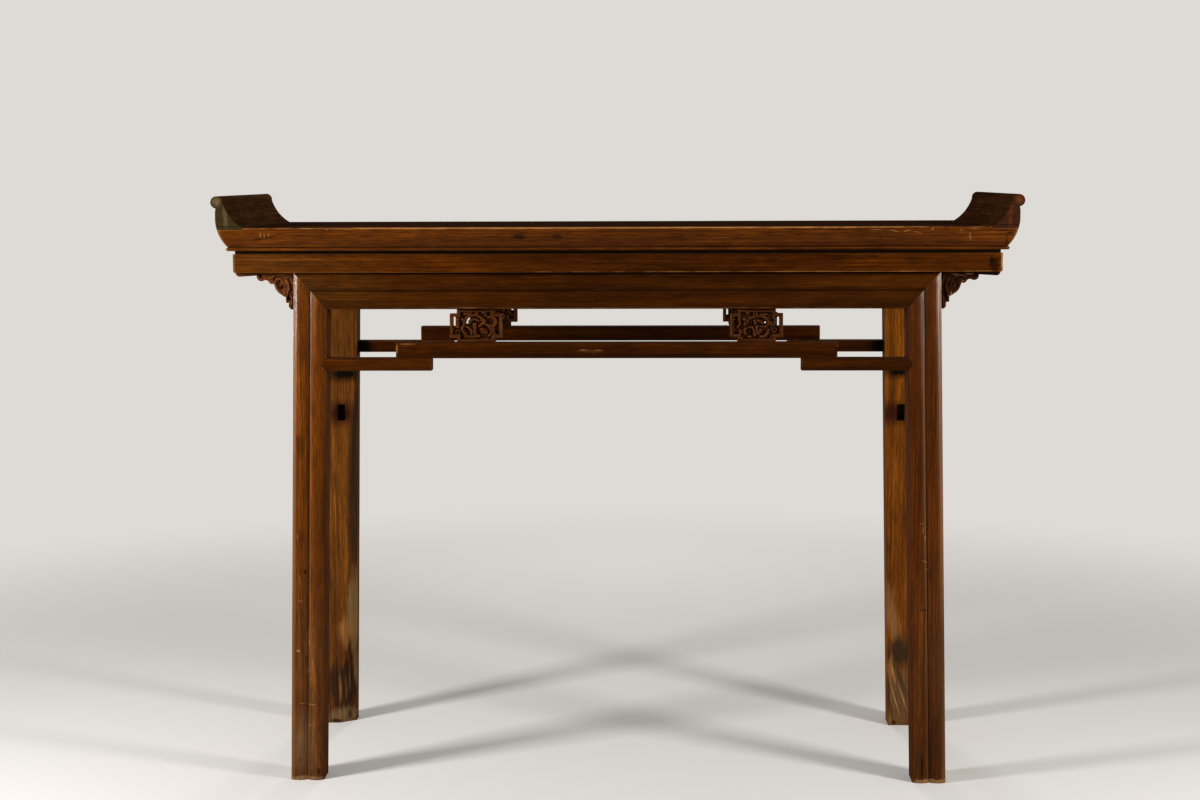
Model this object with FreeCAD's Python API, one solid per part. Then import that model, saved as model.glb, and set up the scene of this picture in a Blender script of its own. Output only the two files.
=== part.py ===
import FreeCAD, Part
import math
import os

V = FreeCAD.Vector

# Altar table with everted ends, in millimetres. +X runs along the top, +Y to the back, +Z up.
# The origin is on the floor under the middle of the table, and the front faces -Y.

# Whole table
table_length = 1280.0           # over the rolled ends
table_depth = 410.0
surface_height = 900.0
flange_rise = 50.0              # rolled ends above the surface

# Fits and cuts
joint_clearance = 0.2
overrun = 6.0                   # a cutting shape runs this far past the wood

# Frame of the top and its moulded edge
frame_width = 70.0
edge_height = 37.0
edge_inset = 14.0               # foot of the moulding behind its top arris
arris_round = 3.0
bead_height = 5.5
ovolo_inset_share = 0.3
ovolo_drop_share = 0.5
frame_tenon_width = 28.0
frame_tenon_height = 11.0

# Floating panel and the dovetailed battens under it
panel_thickness = 16.0
panel_tongue = 8.0
panel_tongue_thickness = 7.0
panel_play = 0.5                # room to swell inside the frame
batten_width = 36.0
batten_lift = 2.0               # underside of a batten above that of the frame
dovetail_depth = 5.0
dovetail_flare = 3.0
batten_tenon_length = 20.0
batten_tenon_width = 22.0
batten_tenon_height = 9.0
batten_place_share = 0.5

# Everted flanges
roll_radius = 9.7
roll_overhang = 9.5             # roll beyond the end of the frame
flange_foot = 40.5              # foot of the flange along the top
flange_seat = 3.0               # foot let into the frame
flange_sweep = 4.6              # hollow of the inner curve
flange_meets_roll = 188.0       # angle on the roll, in degrees, where the inner curve joins it
neck_bulge = 2.5
neck_shoulder = 6.0             # outer side of the neck below the roll
neck_foot = 11.0                # outer side of the neck above the surface
neck_curve_share = 0.2          # how far the curve under the neck bows out, of its bulge
flange_tongue_height = 14.0
flange_tongue_width = 10.0
flange_tongue_end = 12.0        # solid wood past each end of the tongue

# Upper aprons, at the front, the rear and both ends
apron_height = 29.5
apron_reveal = 5.5              # shadow line between the apron and the frame
reveal_depth = 3.0
apron_setback = 20.5            # end apron behind the end of the frame
apron_proud = 2.0               # upper apron in front of the reeds
apron_corner = 3.0
apron_tongue_height = 6.0
apron_tongue_width = 8.0
apron_tongue_end = 10.0

# Legs
leg_width = 54.0
leg_depth = 46.0
leg_setback = 19.4              # leg face behind the edge of the top
leg_inset = 95.5                # outer side of a leg from the end of the apron
lean_side = 18.5                # how far a foot spreads to the side
lean_front = 10.0               # how far a foot spreads to the front or the rear
facing_thickness = 22.0         # wood in front of the core of a leg
leg_tenon_length = 18.0
leg_tenon_width = 10.0
leg_tenon_side = 12.0           # shoulder at each side of the leg's top tenon

# Reeds on the legs and the lower rails
reed_depth = 5.0
rail_height = 58.5

# Mitre between a reeded rail and a leg
mitre_tenon_width = 8.0
mitre_tenon_height = 28.0
mitre_tenon_end = 12.0          # wood left between the tenon and the outer side of the leg

# Mortises for the side stretchers
side_mortise_height = 565.0     # middle of the mortise above the floor
side_mortise_width = 14.0
side_mortise_length = 29.0
side_mortise_depth = 30.0

# Worn wane along the inner arris of the rear left leg
wane_height = 700.0
wane_width = 27.0
wane_depth = 20.0

# Stepped stretchers
bar_depth = 28.0
bar_crown = 3.0                 # rounding of the face of a bar
bar_setback = 1.0
short_bar_height = 20.0
long_bar_height = 25.0
long_bar_inset = 112.0          # end of the long bar from the leg
bar_lap = 56.5
bar_tenon_length = 30.0
bar_tenon_width = 9.0
bar_tenon_shoulder = 4.0
beak_length = 10.0              # pointed tip over the inner reed
beak_depth = 8.0
lap_tenon_length = 26.0         # loose tenon upright through the seam of a lap
lap_tenon_width = 16.0
lap_tenon_thickness = 8.0

# Openwork blocks between the long bar and the reeded rail
ornament_width = 84.0
ornament_height = 53.5
ornament_thickness = 14.0
ornament_inset = 128.0          # middle of a block from the end of the long bar
ornament_bar = 6.0
ornament_relief = 2.0           # sunk field behind the face of the border
notch_width = 11.5
notch_height = 7.5
piercing_width = 2.6
leaf_width = 3.4
flower_radius = 5.2
block_tenon_width = 14.0        # loose tenon above and below a block
block_tenon_thickness = 5.0
block_tenon_in_border = 5.0
block_tenon_in_rail = 9.0

# Carving of the right block, in shares of its half width and half height from its middle
# Curved slits through it, and raised leaves on its front, as start, middle and end
curl_shares = [
    ((-0.08, 0.42), (0.20, 0.44), (0.38, 0.12)),
    ((0.34, -0.14), (0.33, -0.35), (0.17, -0.45)),
    ((-0.36, 0.40), (-0.44, 0.12), (-0.62, -0.12)),
]
leaf_shares = [
    ((-0.24, 0.22), (0.04, 0.28), (0.23, 0.00)),
    ((-0.34, -0.48), (0.00, -0.64), (0.40, -0.57)),
    ((0.52, 0.20), (0.60, 0.02), (0.54, -0.18)),
]
# Straight slits through it, as start and end
slot_shares = [
    ((-0.80, -0.12), (-0.80, 0.50)),
    ((0.81, -0.12), (0.81, 0.54)),
    ((-0.50, 0.64), (-0.38, 0.64)),
    ((-0.16, 0.55), (-0.16, 0.76)),
    ((0.14, 0.70), (0.46, 0.70)),
    ((-0.56, -0.34), (-0.46, -0.54)),
    ((-0.28, -0.20), (-0.20, -0.34)),
    ((0.64, -0.32), (0.68, -0.44)),
]
flower_share = (-0.01, -0.14)

# Spandrels outside the legs
spandrel_reach = 60.0
spandrel_drop = 59.0
spandrel_tail = 94.0
spandrel_tail_drop = 6.5
spandrel_thickness = 10.0
spandrel_setback = 6.0
spandrel_tongue = 4.0
spandrel_tongue_width = 5.0
slit_width = 2.8

# Lower edge of a spandrel as points on and between its arcs, in shares of its reach and its drop
spandrel_edge_shares = [
    (1.00, 0.08), (0.97, 0.19), (0.82, 0.22), (0.73, 0.21), (0.67, 0.27), (0.60, 0.31), (0.53, 0.27),
    (0.45, 0.44), (0.27, 0.58), (0.225, 0.68), (0.24, 0.80),
    (0.16, 0.82), (0.16, 0.88), (0.14, 0.95), (0.06, 1.00),
]
# Slits through a spandrel, as start, middle and end in the same shares
slit_shares = [
    ((0.535, 0.18), (0.42, 0.050), (0.20, 0.085)),
    ((0.30, 0.36), (0.39, 0.30), (0.35, 0.20)),
    ((0.06, 0.46), (0.165, 0.60), (0.09, 0.74)),
]
tip_slit_shares = ((0.93, 0.02), (0.85, 0.11))

half_frame = table_length / 2 - roll_overhang
half_depth = table_depth / 2
frame_foot = surface_height - edge_height
apron_half = half_frame - apron_setback
shoulder = frame_foot - apron_reveal - apron_height     # underside of the upper apron
leg_face = half_depth - leg_setback
core_face = leg_face - facing_thickness
apron_face = leg_face + apron_proud
apron_thickness = facing_thickness + apron_proud
rail_foot = shoulder - rail_height
long_bar_top = rail_foot - ornament_height
long_bar_foot = long_bar_top - long_bar_height
short_bar_foot = long_bar_foot - short_bar_height
short_bar_middle = long_bar_foot - short_bar_height / 2


def lean(height):
    """Share of a leg's spread at a height: none at the shoulder, all of it at the floor."""
    return (shoulder - height) / shoulder


def leg_outer(height):
    return apron_half - leg_inset + lean_side * lean(height)


def leg_inner(height):
    return leg_outer(height) - leg_width


def leg_front(height):
    return -leg_face - lean_front * lean(height)


bar_face = leg_front(short_bar_middle) + bar_setback
bar_middle = bar_face + bar_depth / 2
long_bar_half = leg_inner(short_bar_middle) - long_bar_inset
short_bar_end = long_bar_half - bar_lap
ornament_place = long_bar_half - ornament_inset


def line(start, end):
    return Part.LineSegment(start, end).toShape()


def arc(start, middle, end):
    return Part.Arc(start, middle, end).toShape()


def sweep(edges, travel):
    """Solid swept from a closed outline along a straight line."""
    return Part.Face(Part.Wire(edges)).extrude(travel)


def prism(points, travel):
    """Solid swept from a polygon along a straight line."""
    return Part.Face(Part.makePolygon(points + points[:1])).extrude(travel)


def box(x_span, y_span, z_span):
    low = V(min(x_span), min(y_span), min(z_span))
    high = V(max(x_span), max(y_span), max(z_span))
    size = high - low
    return Part.makeBox(size.x, size.y, size.z, low)


def about(middle, size):
    """Span of a size about its middle."""
    return (middle - size / 2, middle + size / 2)


def rod(radius, foot, travel):
    return Part.makeCylinder(radius, travel.Length, foot, travel)


def band(start, middle, end, width, travel):
    """Solid swept from a strip of even width about an arc."""
    centre = arc(start, middle, end).Curve.Center
    radius = (start - centre).Length
    strip = []
    for shift in (-width / 2, width / 2):
        grow = (radius + shift) / radius
        strip.append([centre + (point - centre) * grow for point in (start, middle, end)])
    inner, outer = strip
    edges = [arc(*inner), line(inner[2], outer[2]), arc(*reversed(outer)), line(outer[0], inner[0])]
    return sweep(edges, travel)


def bar_between(start, end, width, travel):
    """Solid swept from a straight strip of even width."""
    side = (end - start).cross(travel).normalize() * (width / 2)
    return prism([start - side, end - side, end + side, start + side], travel)


def to_left(shape):
    return shape.mirror(V(0, 0, 0), V(1, 0, 0))


def to_rear(shape):
    return shape.mirror(V(0, 0, 0), V(0, 1, 0))


def fused(first, *others):
    return first.multiFuse(list(others)).removeSplitter()


# Rectangular rings: a section runs along the front and another along the right end, mitred at the corner

def ring_front(section, half_x, half_y, width):
    bar = section(lambda inward, z: V(-half_x, -half_y + inward, z), V(2 * half_x, 0, 0))
    inner_x = half_x - width
    inner_y = half_y - width
    plan = [V(-half_x, -half_y, 0), V(half_x, -half_y, 0), V(inner_x, -inner_y, 0), V(-inner_x, -inner_y, 0)]
    return bar.common(prism(plan, V(0, 0, surface_height + overrun)))


def ring_end(section, half_x, half_y, width):
    bar = section(lambda inward, z: V(half_x - inward, -half_y, z), V(0, 2 * half_y, 0))
    inner_x = half_x - width
    inner_y = half_y - width
    plan = [V(half_x, -half_y, 0), V(half_x, half_y, 0), V(inner_x, inner_y, 0), V(inner_x, -inner_y, 0)]
    return bar.common(prism(plan, V(0, 0, surface_height + overrun)))


# Frame of the top

def edge_section(place, travel):
    """Moulded section: ovolo, quirk and bead outside, a groove for the panel inside."""
    bead_top = frame_foot + bead_height
    quarter = arris_round * (1 - math.sqrt(0.5))
    ovolo_inset = edge_inset * ovolo_inset_share
    ovolo_z = bead_top + (surface_height - bead_top) * ovolo_drop_share
    groove_foot = surface_height - panel_thickness - joint_clearance
    groove_top = groove_foot + panel_tongue_thickness + 2 * joint_clearance
    groove_back = frame_width - panel_tongue - panel_play
    outline = [
        place(frame_width, groove_top),
        place(frame_width, surface_height),
        place(arris_round, surface_height),
    ]
    inside = [
        place(edge_inset, frame_foot),
        place(frame_width, frame_foot),
        place(frame_width, groove_foot),
        place(groove_back, groove_foot),
        place(groove_back, groove_top),
        place(frame_width, groove_top),
    ]
    edges = [line(a, b) for a, b in zip(outline, outline[1:])]
    edges.append(arc(outline[-1], place(quarter, surface_height - quarter),
                     place(0, surface_height - arris_round)))
    edges.append(arc(place(0, surface_height - arris_round), place(ovolo_inset, ovolo_z),
                     place(edge_inset, bead_top)))
    bead_middle = place(edge_inset - bead_height / 2, bead_top - bead_height / 2)
    edges.append(arc(place(edge_inset, bead_top), bead_middle, place(edge_inset, frame_foot)))
    edges += [line(a, b) for a, b in zip(inside, inside[1:])]
    return sweep(edges, travel)


def frame_tenon(clearance):
    """Tenon of the front rail, through the right end rail."""
    middle_y = -half_depth + frame_width / 2
    middle_z = surface_height - edge_height / 2
    return box((half_frame - frame_width, half_frame + overrun),
               about(middle_y, frame_tenon_width + 2 * clearance),
               about(middle_z, frame_tenon_height + 2 * clearance))


def flange_seats():
    foot = half_frame - flange_foot
    right = box((foot, half_frame + overrun), (-half_depth - overrun, half_depth + overrun),
                (surface_height - flange_seat, surface_height + overrun))
    return [right, to_left(right)]


def long_rail():
    end_bar = edge_section(lambda inward, z: V(half_frame - inward, -half_depth, z), V(0, table_depth, 0))
    tenon = frame_tenon(0).common(end_bar)
    rail = ring_front(edge_section, half_frame, half_depth, frame_width)
    rail = fused(rail, tenon, to_left(tenon))
    leg_tenon = leg_top_tenon(joint_clearance)
    cuts = flange_seats() + [leg_tenon, to_left(leg_tenon), apron_tongue(joint_clearance)]
    cuts += [batten_tenon(place, joint_clearance) for place in batten_places()]
    return rail.cut(Part.makeCompound(cuts))


def end_rail():
    rail = ring_end(edge_section, half_frame, half_depth, frame_width)
    tenon = frame_tenon(joint_clearance)
    cuts = [flange_seats()[0], tenon, to_rear(tenon)]
    cuts += [flange_tongue(joint_clearance), end_apron_tongue(joint_clearance)]
    return rail.cut(Part.makeCompound(cuts))


# Panel and battens

def batten_places():
    side = (half_frame - frame_width) * batten_place_share
    return [-side, 0, side]


def batten_tenon(place, clearance):
    """Tenon of a batten into the front rail."""
    inner_y = -half_depth + frame_width
    low = frame_foot + batten_lift
    high = surface_height - panel_thickness
    return box(about(place, batten_tenon_width + 2 * clearance),
               (inner_y - batten_tenon_length, inner_y + overrun),
               about((low + high) / 2, batten_tenon_height + 2 * clearance))


def dovetail(place, clearance, length):
    """Dovetail on top of a batten, wider at its top."""
    low = surface_height - panel_thickness
    high = low + dovetail_depth + clearance
    wide = batten_width / 2 + clearance
    narrow = wide - dovetail_flare
    points = [V(place - narrow, -length / 2, low), V(place + narrow, -length / 2, low),
              V(place + wide, -length / 2, high), V(place - wide, -length / 2, high)]
    return prism(points, V(0, length, 0))


def top_panel():
    half_x = half_frame - frame_width
    half_y = half_depth - frame_width
    foot = surface_height - panel_thickness
    field = box((-half_x + panel_play, half_x - panel_play), (-half_y + panel_play, half_y - panel_play),
                (foot, surface_height))
    tongue_x = half_x + panel_tongue
    tongue_y = half_y + panel_tongue
    tongue = box((-tongue_x, tongue_x), (-tongue_y, tongue_y), (foot, foot + panel_tongue_thickness))
    panel = fused(field, tongue)
    for place in batten_places():
        panel = panel.cut(dovetail(place, joint_clearance, table_depth))
    return panel


def batten(place):
    length = table_depth - 2 * frame_width
    foot = frame_foot + batten_lift
    body = box(about(place, batten_width), about(0, length), (foot, surface_height - panel_thickness))
    tenon = batten_tenon(place, 0)
    return fused(body, dovetail(place, 0, length), tenon, to_rear(tenon))


# Everted flanges

def flange_tongue(clearance):
    middle_x = half_frame - flange_foot / 2
    half_y = half_depth - frame_width - flange_tongue_end + clearance
    top = surface_height - flange_seat
    return box(about(middle_x, flange_tongue_width + 2 * clearance), (-half_y, half_y),
               (top - flange_tongue_height - clearance, top + clearance))


def flange():
    """Right flange: a hollow sweep up from the top, a round roll above, a straight neck outside."""
    roll = V(table_length / 2 - roll_radius, -half_depth, surface_height + flange_rise - roll_radius)
    angle = math.radians(flange_meets_roll)
    sweep_top = roll + V(math.cos(angle), 0, math.sin(angle)) * roll_radius
    foot_x = half_frame - flange_foot
    seat = surface_height - flange_seat
    neck_x = half_frame + neck_bulge
    sweep_foot = V(foot_x, -half_depth, surface_height)
    chord = sweep_top - sweep_foot
    hollow = V(chord.z, 0, -chord.x).normalize() * flange_sweep
    neck_low = V(neck_x, -half_depth, surface_height + neck_foot)
    neck_high = V(neck_x, -half_depth, roll.z - roll_radius - neck_shoulder)
    seat_end = V(half_frame, -half_depth, seat)
    neck_curve = (neck_low + seat_end) * 0.5 + V(neck_bulge * neck_curve_share, 0, 0)
    seat_start = V(foot_x, -half_depth, seat)
    edges = [
        arc(sweep_foot, sweep_foot + chord * 0.5 + hollow, sweep_top),
        line(sweep_top, roll),
        line(roll, neck_high),
        line(neck_high, neck_low),
        arc(neck_low, neck_curve, seat_end),
        line(seat_end, seat_start),
        line(seat_start, sweep_foot),
    ]
    along = V(0, table_depth, 0)
    return fused(sweep(edges, along), rod(roll_radius, roll, along), flange_tongue(0))


# Upper aprons

def apron_section(place, travel):
    points = [
        place(reveal_depth, frame_foot),
        place(reveal_depth, frame_foot - apron_reveal),
        place(0, frame_foot - apron_reveal),
        place(0, shoulder),
        place(apron_thickness, shoulder),
        place(apron_thickness, frame_foot),
    ]
    return prism(points, travel)


def apron_tongue(clearance):
    half_x = half_frame - frame_width - apron_tongue_end + clearance
    middle_y = -apron_face + apron_thickness / 2
    return box((-half_x, half_x), about(middle_y, apron_tongue_width + 2 * clearance),
               (frame_foot, frame_foot + apron_tongue_height + clearance))


def end_apron_tongue(clearance):
    half_y = half_depth - frame_width - apron_tongue_end + clearance
    middle_x = apron_half - apron_thickness / 2
    return box(about(middle_x, apron_tongue_width + 2 * clearance), (-half_y, half_y),
               (frame_foot, frame_foot + apron_tongue_height + clearance))


def apron_corners():
    """What is rounded away from the lower corners at both ends of the aprons."""
    along = V(0, table_depth, 0)
    middle = V(apron_half - apron_corner, -half_depth, shoulder + apron_corner)
    corner = box((middle.x, apron_half + overrun), (-half_depth, half_depth), (shoulder - overrun, middle.z))
    right = corner.cut(rod(apron_corner, middle, along))
    return Part.makeCompound([right, to_left(right)])


def upper_apron():
    apron = ring_front(apron_section, apron_half, apron_face, apron_thickness)
    return fused(apron.cut(apron_corners()), apron_tongue(0))


def end_apron():
    apron = ring_end(apron_section, apron_half, apron_face, apron_thickness)
    return fused(apron.cut(apron_corners()), end_apron_tongue(0))


# Reeded legs and rails

def reeded_section(place, width, depth, travel):
    """Two round reeds side by side on the face, flat sides and back."""
    half = width / 2
    low = place(0, reed_depth)
    middle = place(half, reed_depth)
    high = place(width, reed_depth)
    edges = [
        arc(low, place(half / 2, 0), middle),
        arc(middle, place(half + half / 2, 0), high),
        line(high, place(width, depth)),
        line(place(width, depth), place(0, depth)),
        line(place(0, depth), low),
    ]
    return sweep(edges, travel)


def mitre_tenon(clearance):
    """Stub tenon of a reeded rail into the right leg, behind the mitred reeds."""
    end = leg_outer(shoulder) - mitre_tenon_end
    return box((leg_inner(rail_foot) - leg_width / 2, end + clearance),
               about(-leg_face + (reed_depth + facing_thickness) / 2, mitre_tenon_width + 2 * clearance),
               about((shoulder + rail_foot) / 2, mitre_tenon_height + 2 * clearance))


def mitred_field():
    """Space of a reeded rail between the two mitres, through the facing of the legs."""
    face = -leg_face - leg_setback
    top = leg_outer(shoulder)
    foot = leg_inner(rail_foot)
    low = [V(-foot, face, rail_foot), V(foot, face, rail_foot)]
    points = low + [V(top, face, shoulder), V(-top, face, shoulder)]
    return prism(points, V(0, leg_setback + facing_thickness, 0))


def reeded_rail():
    start = -leg_outer(shoulder)
    bar = reeded_section(lambda up, inward: V(start, -leg_face + inward, rail_foot + up), rail_height,
                         facing_thickness, V(-2 * start, 0, 0))
    tenon = mitre_tenon(0)
    rail = fused(bar.common(mitred_field()), tenon, to_left(tenon))
    return rail.cut(Part.makeCompound([block_tenon(1, True), block_tenon(-1, True)]))


def leg_top_tenon(clearance):
    left = leg_inner(frame_foot) + leg_tenon_side - clearance
    right = leg_outer(frame_foot) - leg_tenon_side + clearance
    middle_y = -core_face + (leg_depth - facing_thickness) / 2
    return box((left, right), about(middle_y, leg_tenon_width + 2 * clearance),
               (frame_foot - clearance, frame_foot + leg_tenon_length + clearance))


def side_mortise():
    """Blind mortise in the inner face of a leg."""
    back = leg_front(side_mortise_height) + leg_depth
    middle_x = leg_inner(side_mortise_height) + leg_width / 2
    return box(about(middle_x, side_mortise_width), (back - side_mortise_depth, back + overrun),
               about(side_mortise_height, side_mortise_length))


def leg_prism():
    """Front right leg before its joints, drawn upright and then leaned to the front and to the side."""
    side_angle = math.atan(lean_side / shoulder)
    front_angle = math.atan(lean_front / shoulder * math.cos(side_angle))
    pivot = V(leg_inner(shoulder), leg_front(shoulder), shoulder)
    width = leg_width * math.cos(side_angle)
    upright = V(0, 0, frame_foot + 2 * overrun)

    def place(across, inward):
        return V(pivot.x + across, pivot.y + inward, -overrun)

    shape = reeded_section(place, width, leg_depth, upright)
    shape.rotate(pivot, V(1, 0, 0), -math.degrees(front_angle))
    shape.rotate(pivot, V(0, 1, 0), -math.degrees(side_angle))
    standing = box((0, table_length), (-table_depth, table_depth), (0, frame_foot))
    return shape.common(standing)


def leg():
    """Front right leg: core up to the frame, facing cut to the mitre, joints for each bar."""
    above = box((leg_inner(shoulder) - leg_width, leg_outer(shoulder) + leg_width),
                (-half_depth, -core_face), (shoulder, frame_foot + overrun))
    cuts = [above, mitred_field(), mitre_tenon(joint_clearance), beak(True), bar_tenon(joint_clearance)]
    cuts += [side_mortise(), spandrel_groove(joint_clearance)]
    shape = leg_prism()
    for cut in cuts:
        shape = shape.cut(cut)
    return fused(shape, leg_top_tenon(0))


def wane():
    """Long sliver hewn off the inner rear arris of a leg, nothing at its top and widest at the floor."""
    inner = leg_inner(0)
    back = leg_front(0) + leg_depth
    corner = V(inner - overrun, back + overrun, 0)
    low = [corner, V(inner + wane_width, back + overrun, 0), V(inner + wane_width, back, 0),
           V(inner, back - wane_depth, 0), V(inner - overrun, back - wane_depth, 0)]
    top = V(leg_inner(wane_height), leg_front(wane_height) + leg_depth, wane_height)
    faces = [Part.Face(Part.makePolygon(low + low[:1]))]
    for a, b in zip(low, low[1:] + low[:1]):
        faces.append(Part.Face(Part.makePolygon([a, b, top, a])))
    return Part.makeSolid(Part.makeShell(faces))


# Stepped stretchers

def crowned_section(place, height, travel):
    """Bar with a slightly rounded face."""
    low = place(0, bar_crown)
    high = place(height, bar_crown)
    edges = [
        arc(low, place(height / 2, 0), high),
        line(high, place(height, bar_depth)),
        line(place(height, bar_depth), place(0, bar_depth)),
        line(place(0, bar_depth), low),
    ]
    return sweep(edges, travel)


def beak(as_cut):
    """Pointed tip of a short bar over the inner reed of the leg, or the notch that takes it."""
    face = bar_face - (leg_setback if as_cut else 0)
    start = -overrun if as_cut else -leg_width / 2
    points = [
        V(leg_inner(short_bar_foot) + start, face, short_bar_foot),
        V(leg_inner(short_bar_foot), face, short_bar_foot),
        V(leg_inner(short_bar_middle) + beak_length, face, short_bar_middle),
        V(leg_inner(long_bar_foot), face, long_bar_foot),
        V(leg_inner(long_bar_foot) + start, face, long_bar_foot),
    ]
    return prism(points, V(0, bar_face + beak_depth - face, 0))


def bar_tenon(clearance):
    inner = leg_inner(short_bar_middle)
    middle_y = bar_face + (beak_depth + bar_depth) / 2
    height = short_bar_height - 2 * bar_tenon_shoulder
    return box((inner - leg_width / 2, inner + bar_tenon_length + clearance),
               about(middle_y, bar_tenon_width + 2 * clearance),
               about(short_bar_middle, height + 2 * clearance))


def lap_tenon(side, clearance):
    return box(about(side * (long_bar_half - bar_lap / 2), lap_tenon_width + 2 * clearance),
               about(bar_middle, lap_tenon_thickness + 2 * clearance),
               about(long_bar_foot, lap_tenon_length + 2 * clearance))


def short_bar():
    """Right short bar: lapped under the long bar, beaked and tenoned into the leg."""
    length = leg_inner(short_bar_middle) + leg_width - short_bar_end
    bar = crowned_section(lambda up, inward: V(short_bar_end, bar_face + inward, short_bar_foot + up),
                          short_bar_height, V(length, 0, 0))
    ends = [
        V(short_bar_end, bar_face, short_bar_foot),
        V(leg_inner(short_bar_foot), bar_face, short_bar_foot),
        V(leg_inner(long_bar_foot), bar_face, long_bar_foot),
        V(short_bar_end, bar_face, long_bar_foot),
    ]
    field = fused(prism(ends, V(0, bar_depth, 0)), beak(False))
    return fused(bar.common(field), bar_tenon(0)).cut(lap_tenon(1, joint_clearance))


def long_bar():
    bar = crowned_section(lambda up, inward: V(-long_bar_half, bar_face + inward, long_bar_foot + up),
                          long_bar_height, V(2 * long_bar_half, 0, 0))
    cuts = [lap_tenon(1, joint_clearance), lap_tenon(-1, joint_clearance)]
    cuts += [block_tenon(1, False), block_tenon(-1, False)]
    return bar.cut(Part.makeCompound(cuts))


# Openwork blocks

def block_tenon(side, upper, clearance=joint_clearance):
    """Loose tenon between a block and the rail above it or the long bar below it."""
    seam = rail_foot if upper else long_bar_top
    up = 1 if upper else -1
    in_block = seam - up * (block_tenon_in_border + clearance)
    in_bar = seam + up * (block_tenon_in_rail + clearance)
    return box(about(side * ornament_place, block_tenon_width + 2 * clearance),
               about(bar_middle, block_tenon_thickness + 2 * clearance), (in_block, in_bar))


def notched_border(margin, face, thickness):
    """Rectangle with stepped corners, drawn in by a margin."""
    wide = ornament_width / 2 - margin
    high = ornament_height / 2 - margin
    step_x = wide - notch_width
    step_z = high - notch_height
    quarter = [(wide, step_z), (step_x, step_z), (step_x, high)]
    corners = quarter + [(-x, z) for x, z in reversed(quarter)]
    corners += [(-x, -z) for x, z in corners]
    middle_z = long_bar_top + ornament_height / 2
    points = [V(ornament_place + x, face, middle_z + z) for x, z in corners]
    return prism(points, V(0, thickness, 0))


def ornament():
    """Right block: a stepped border round a sunk field with raised leaves, pierced between them."""
    face = bar_middle - ornament_thickness / 2
    middle = V(ornament_place, face, long_bar_top + ornament_height / 2)
    before = V(0, overrun, 0)
    through = V(0, ornament_thickness, 0) + before * 2
    raised = V(0, 2 * ornament_relief, 0)

    def place(share):
        return middle + V(share[0] * ornament_width / 2, 0, share[1] * ornament_height / 2)

    cuts = []
    for start, bend, end in curl_shares:
        points = [place(share) - before for share in (start, bend, end)]
        cuts.append(band(*points, piercing_width, through))
    for start, end in slot_shares:
        cuts.append(bar_between(place(start) - before, place(end) - before, piercing_width, through))
    cuts += [block_tenon(1, True), block_tenon(1, False)]
    block = notched_border(0, face, ornament_thickness)
    block = block.cut(notched_border(ornament_bar, face - overrun, overrun + ornament_relief))
    leaves = [band(*[place(share) for share in leaf], leaf_width, raised) for leaf in leaf_shares]
    leaves.append(rod(flower_radius, place(flower_share), raised))
    return fused(block.cut(Part.makeCompound(cuts)), *leaves)


# Spandrels

def spandrel_groove(clearance):
    """Tongue of a spandrel into the outer side of the right leg."""
    middle_y = -leg_face + spandrel_setback + spandrel_thickness / 2
    foot = shoulder - spandrel_drop * spandrel_edge_shares[-1][1]
    outer = leg_outer(foot)
    return box((outer - spandrel_tongue - clearance, outer + joint_clearance),
               about(middle_y, spandrel_tongue_width + 2 * clearance),
               (foot + spandrel_tongue - clearance, shoulder - 2 * spandrel_tongue + clearance))


def spandrel():
    """Bracket outside the right leg: a scalloped edge, a thin round-ended tail and curved slits."""
    face = -leg_face + spandrel_setback
    side = leg_outer(shoulder)
    travel = V(0, spandrel_thickness, 0)

    def place(share, setback=0.0):
        return V(side + share[0] * spandrel_reach, face - setback, shoulder - share[1] * spandrel_drop)

    edge = [place(share) for share in spandrel_edge_shares]
    tail_end = V(side + spandrel_tail, face, shoulder)
    tail_foot = tail_end - V(spandrel_tail_drop, 0, spandrel_tail_drop)
    bulge = spandrel_tail_drop * math.sin(math.radians(45))
    tail_round = tail_end + V(bulge - spandrel_tail_drop, 0, -bulge)
    inner_x = leg_inner(shoulder)
    edges = [line(V(inner_x, face, shoulder), tail_end), arc(tail_end, tail_round, tail_foot)]
    edges.append(line(tail_foot, edge[0]))
    for step in range(0, len(edge) - 1, 2):
        edges.append(arc(edge[step], edge[step + 1], edge[step + 2]))
    last = V(inner_x, face, edge[-1].z)
    edges += [line(edge[-1], last), line(last, V(inner_x, face, shoulder))]
    plate = sweep(edges, travel)
    through = travel + V(0, 2 * overrun, 0)
    for start, bend, end in slit_shares:
        points = [place(share, overrun) for share in (start, bend, end)]
        plate = plate.cut(band(*points, slit_width, through))
    start, end = tip_slit_shares
    plate = plate.cut(bar_between(place(start, overrun), place(end, overrun), slit_width, through))
    plate = plate.cut(leg_prism())
    outside = [solid for solid in plate.Solids if solid.CenterOfMass.x > side]
    return fused(outside[0], spandrel_groove(0))


def corner_set(shape):
    """The front right piece and its three mirrored fellows."""
    return {
        "front_right": shape,
        "front_left": to_left(shape),
        "rear_right": to_rear(shape),
        "rear_left": to_left(to_rear(shape)),
    }


def front_and_rear(shape):
    return {"front": shape, "rear": to_rear(shape)}


def left_and_right(shape):
    return {"right": shape, "left": to_left(shape)}


def group(shapes):
    """Front pieces and their rear fellows as one group of separate solids."""
    return Part.makeCompound(shapes + [to_rear(shape) for shape in shapes])


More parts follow.
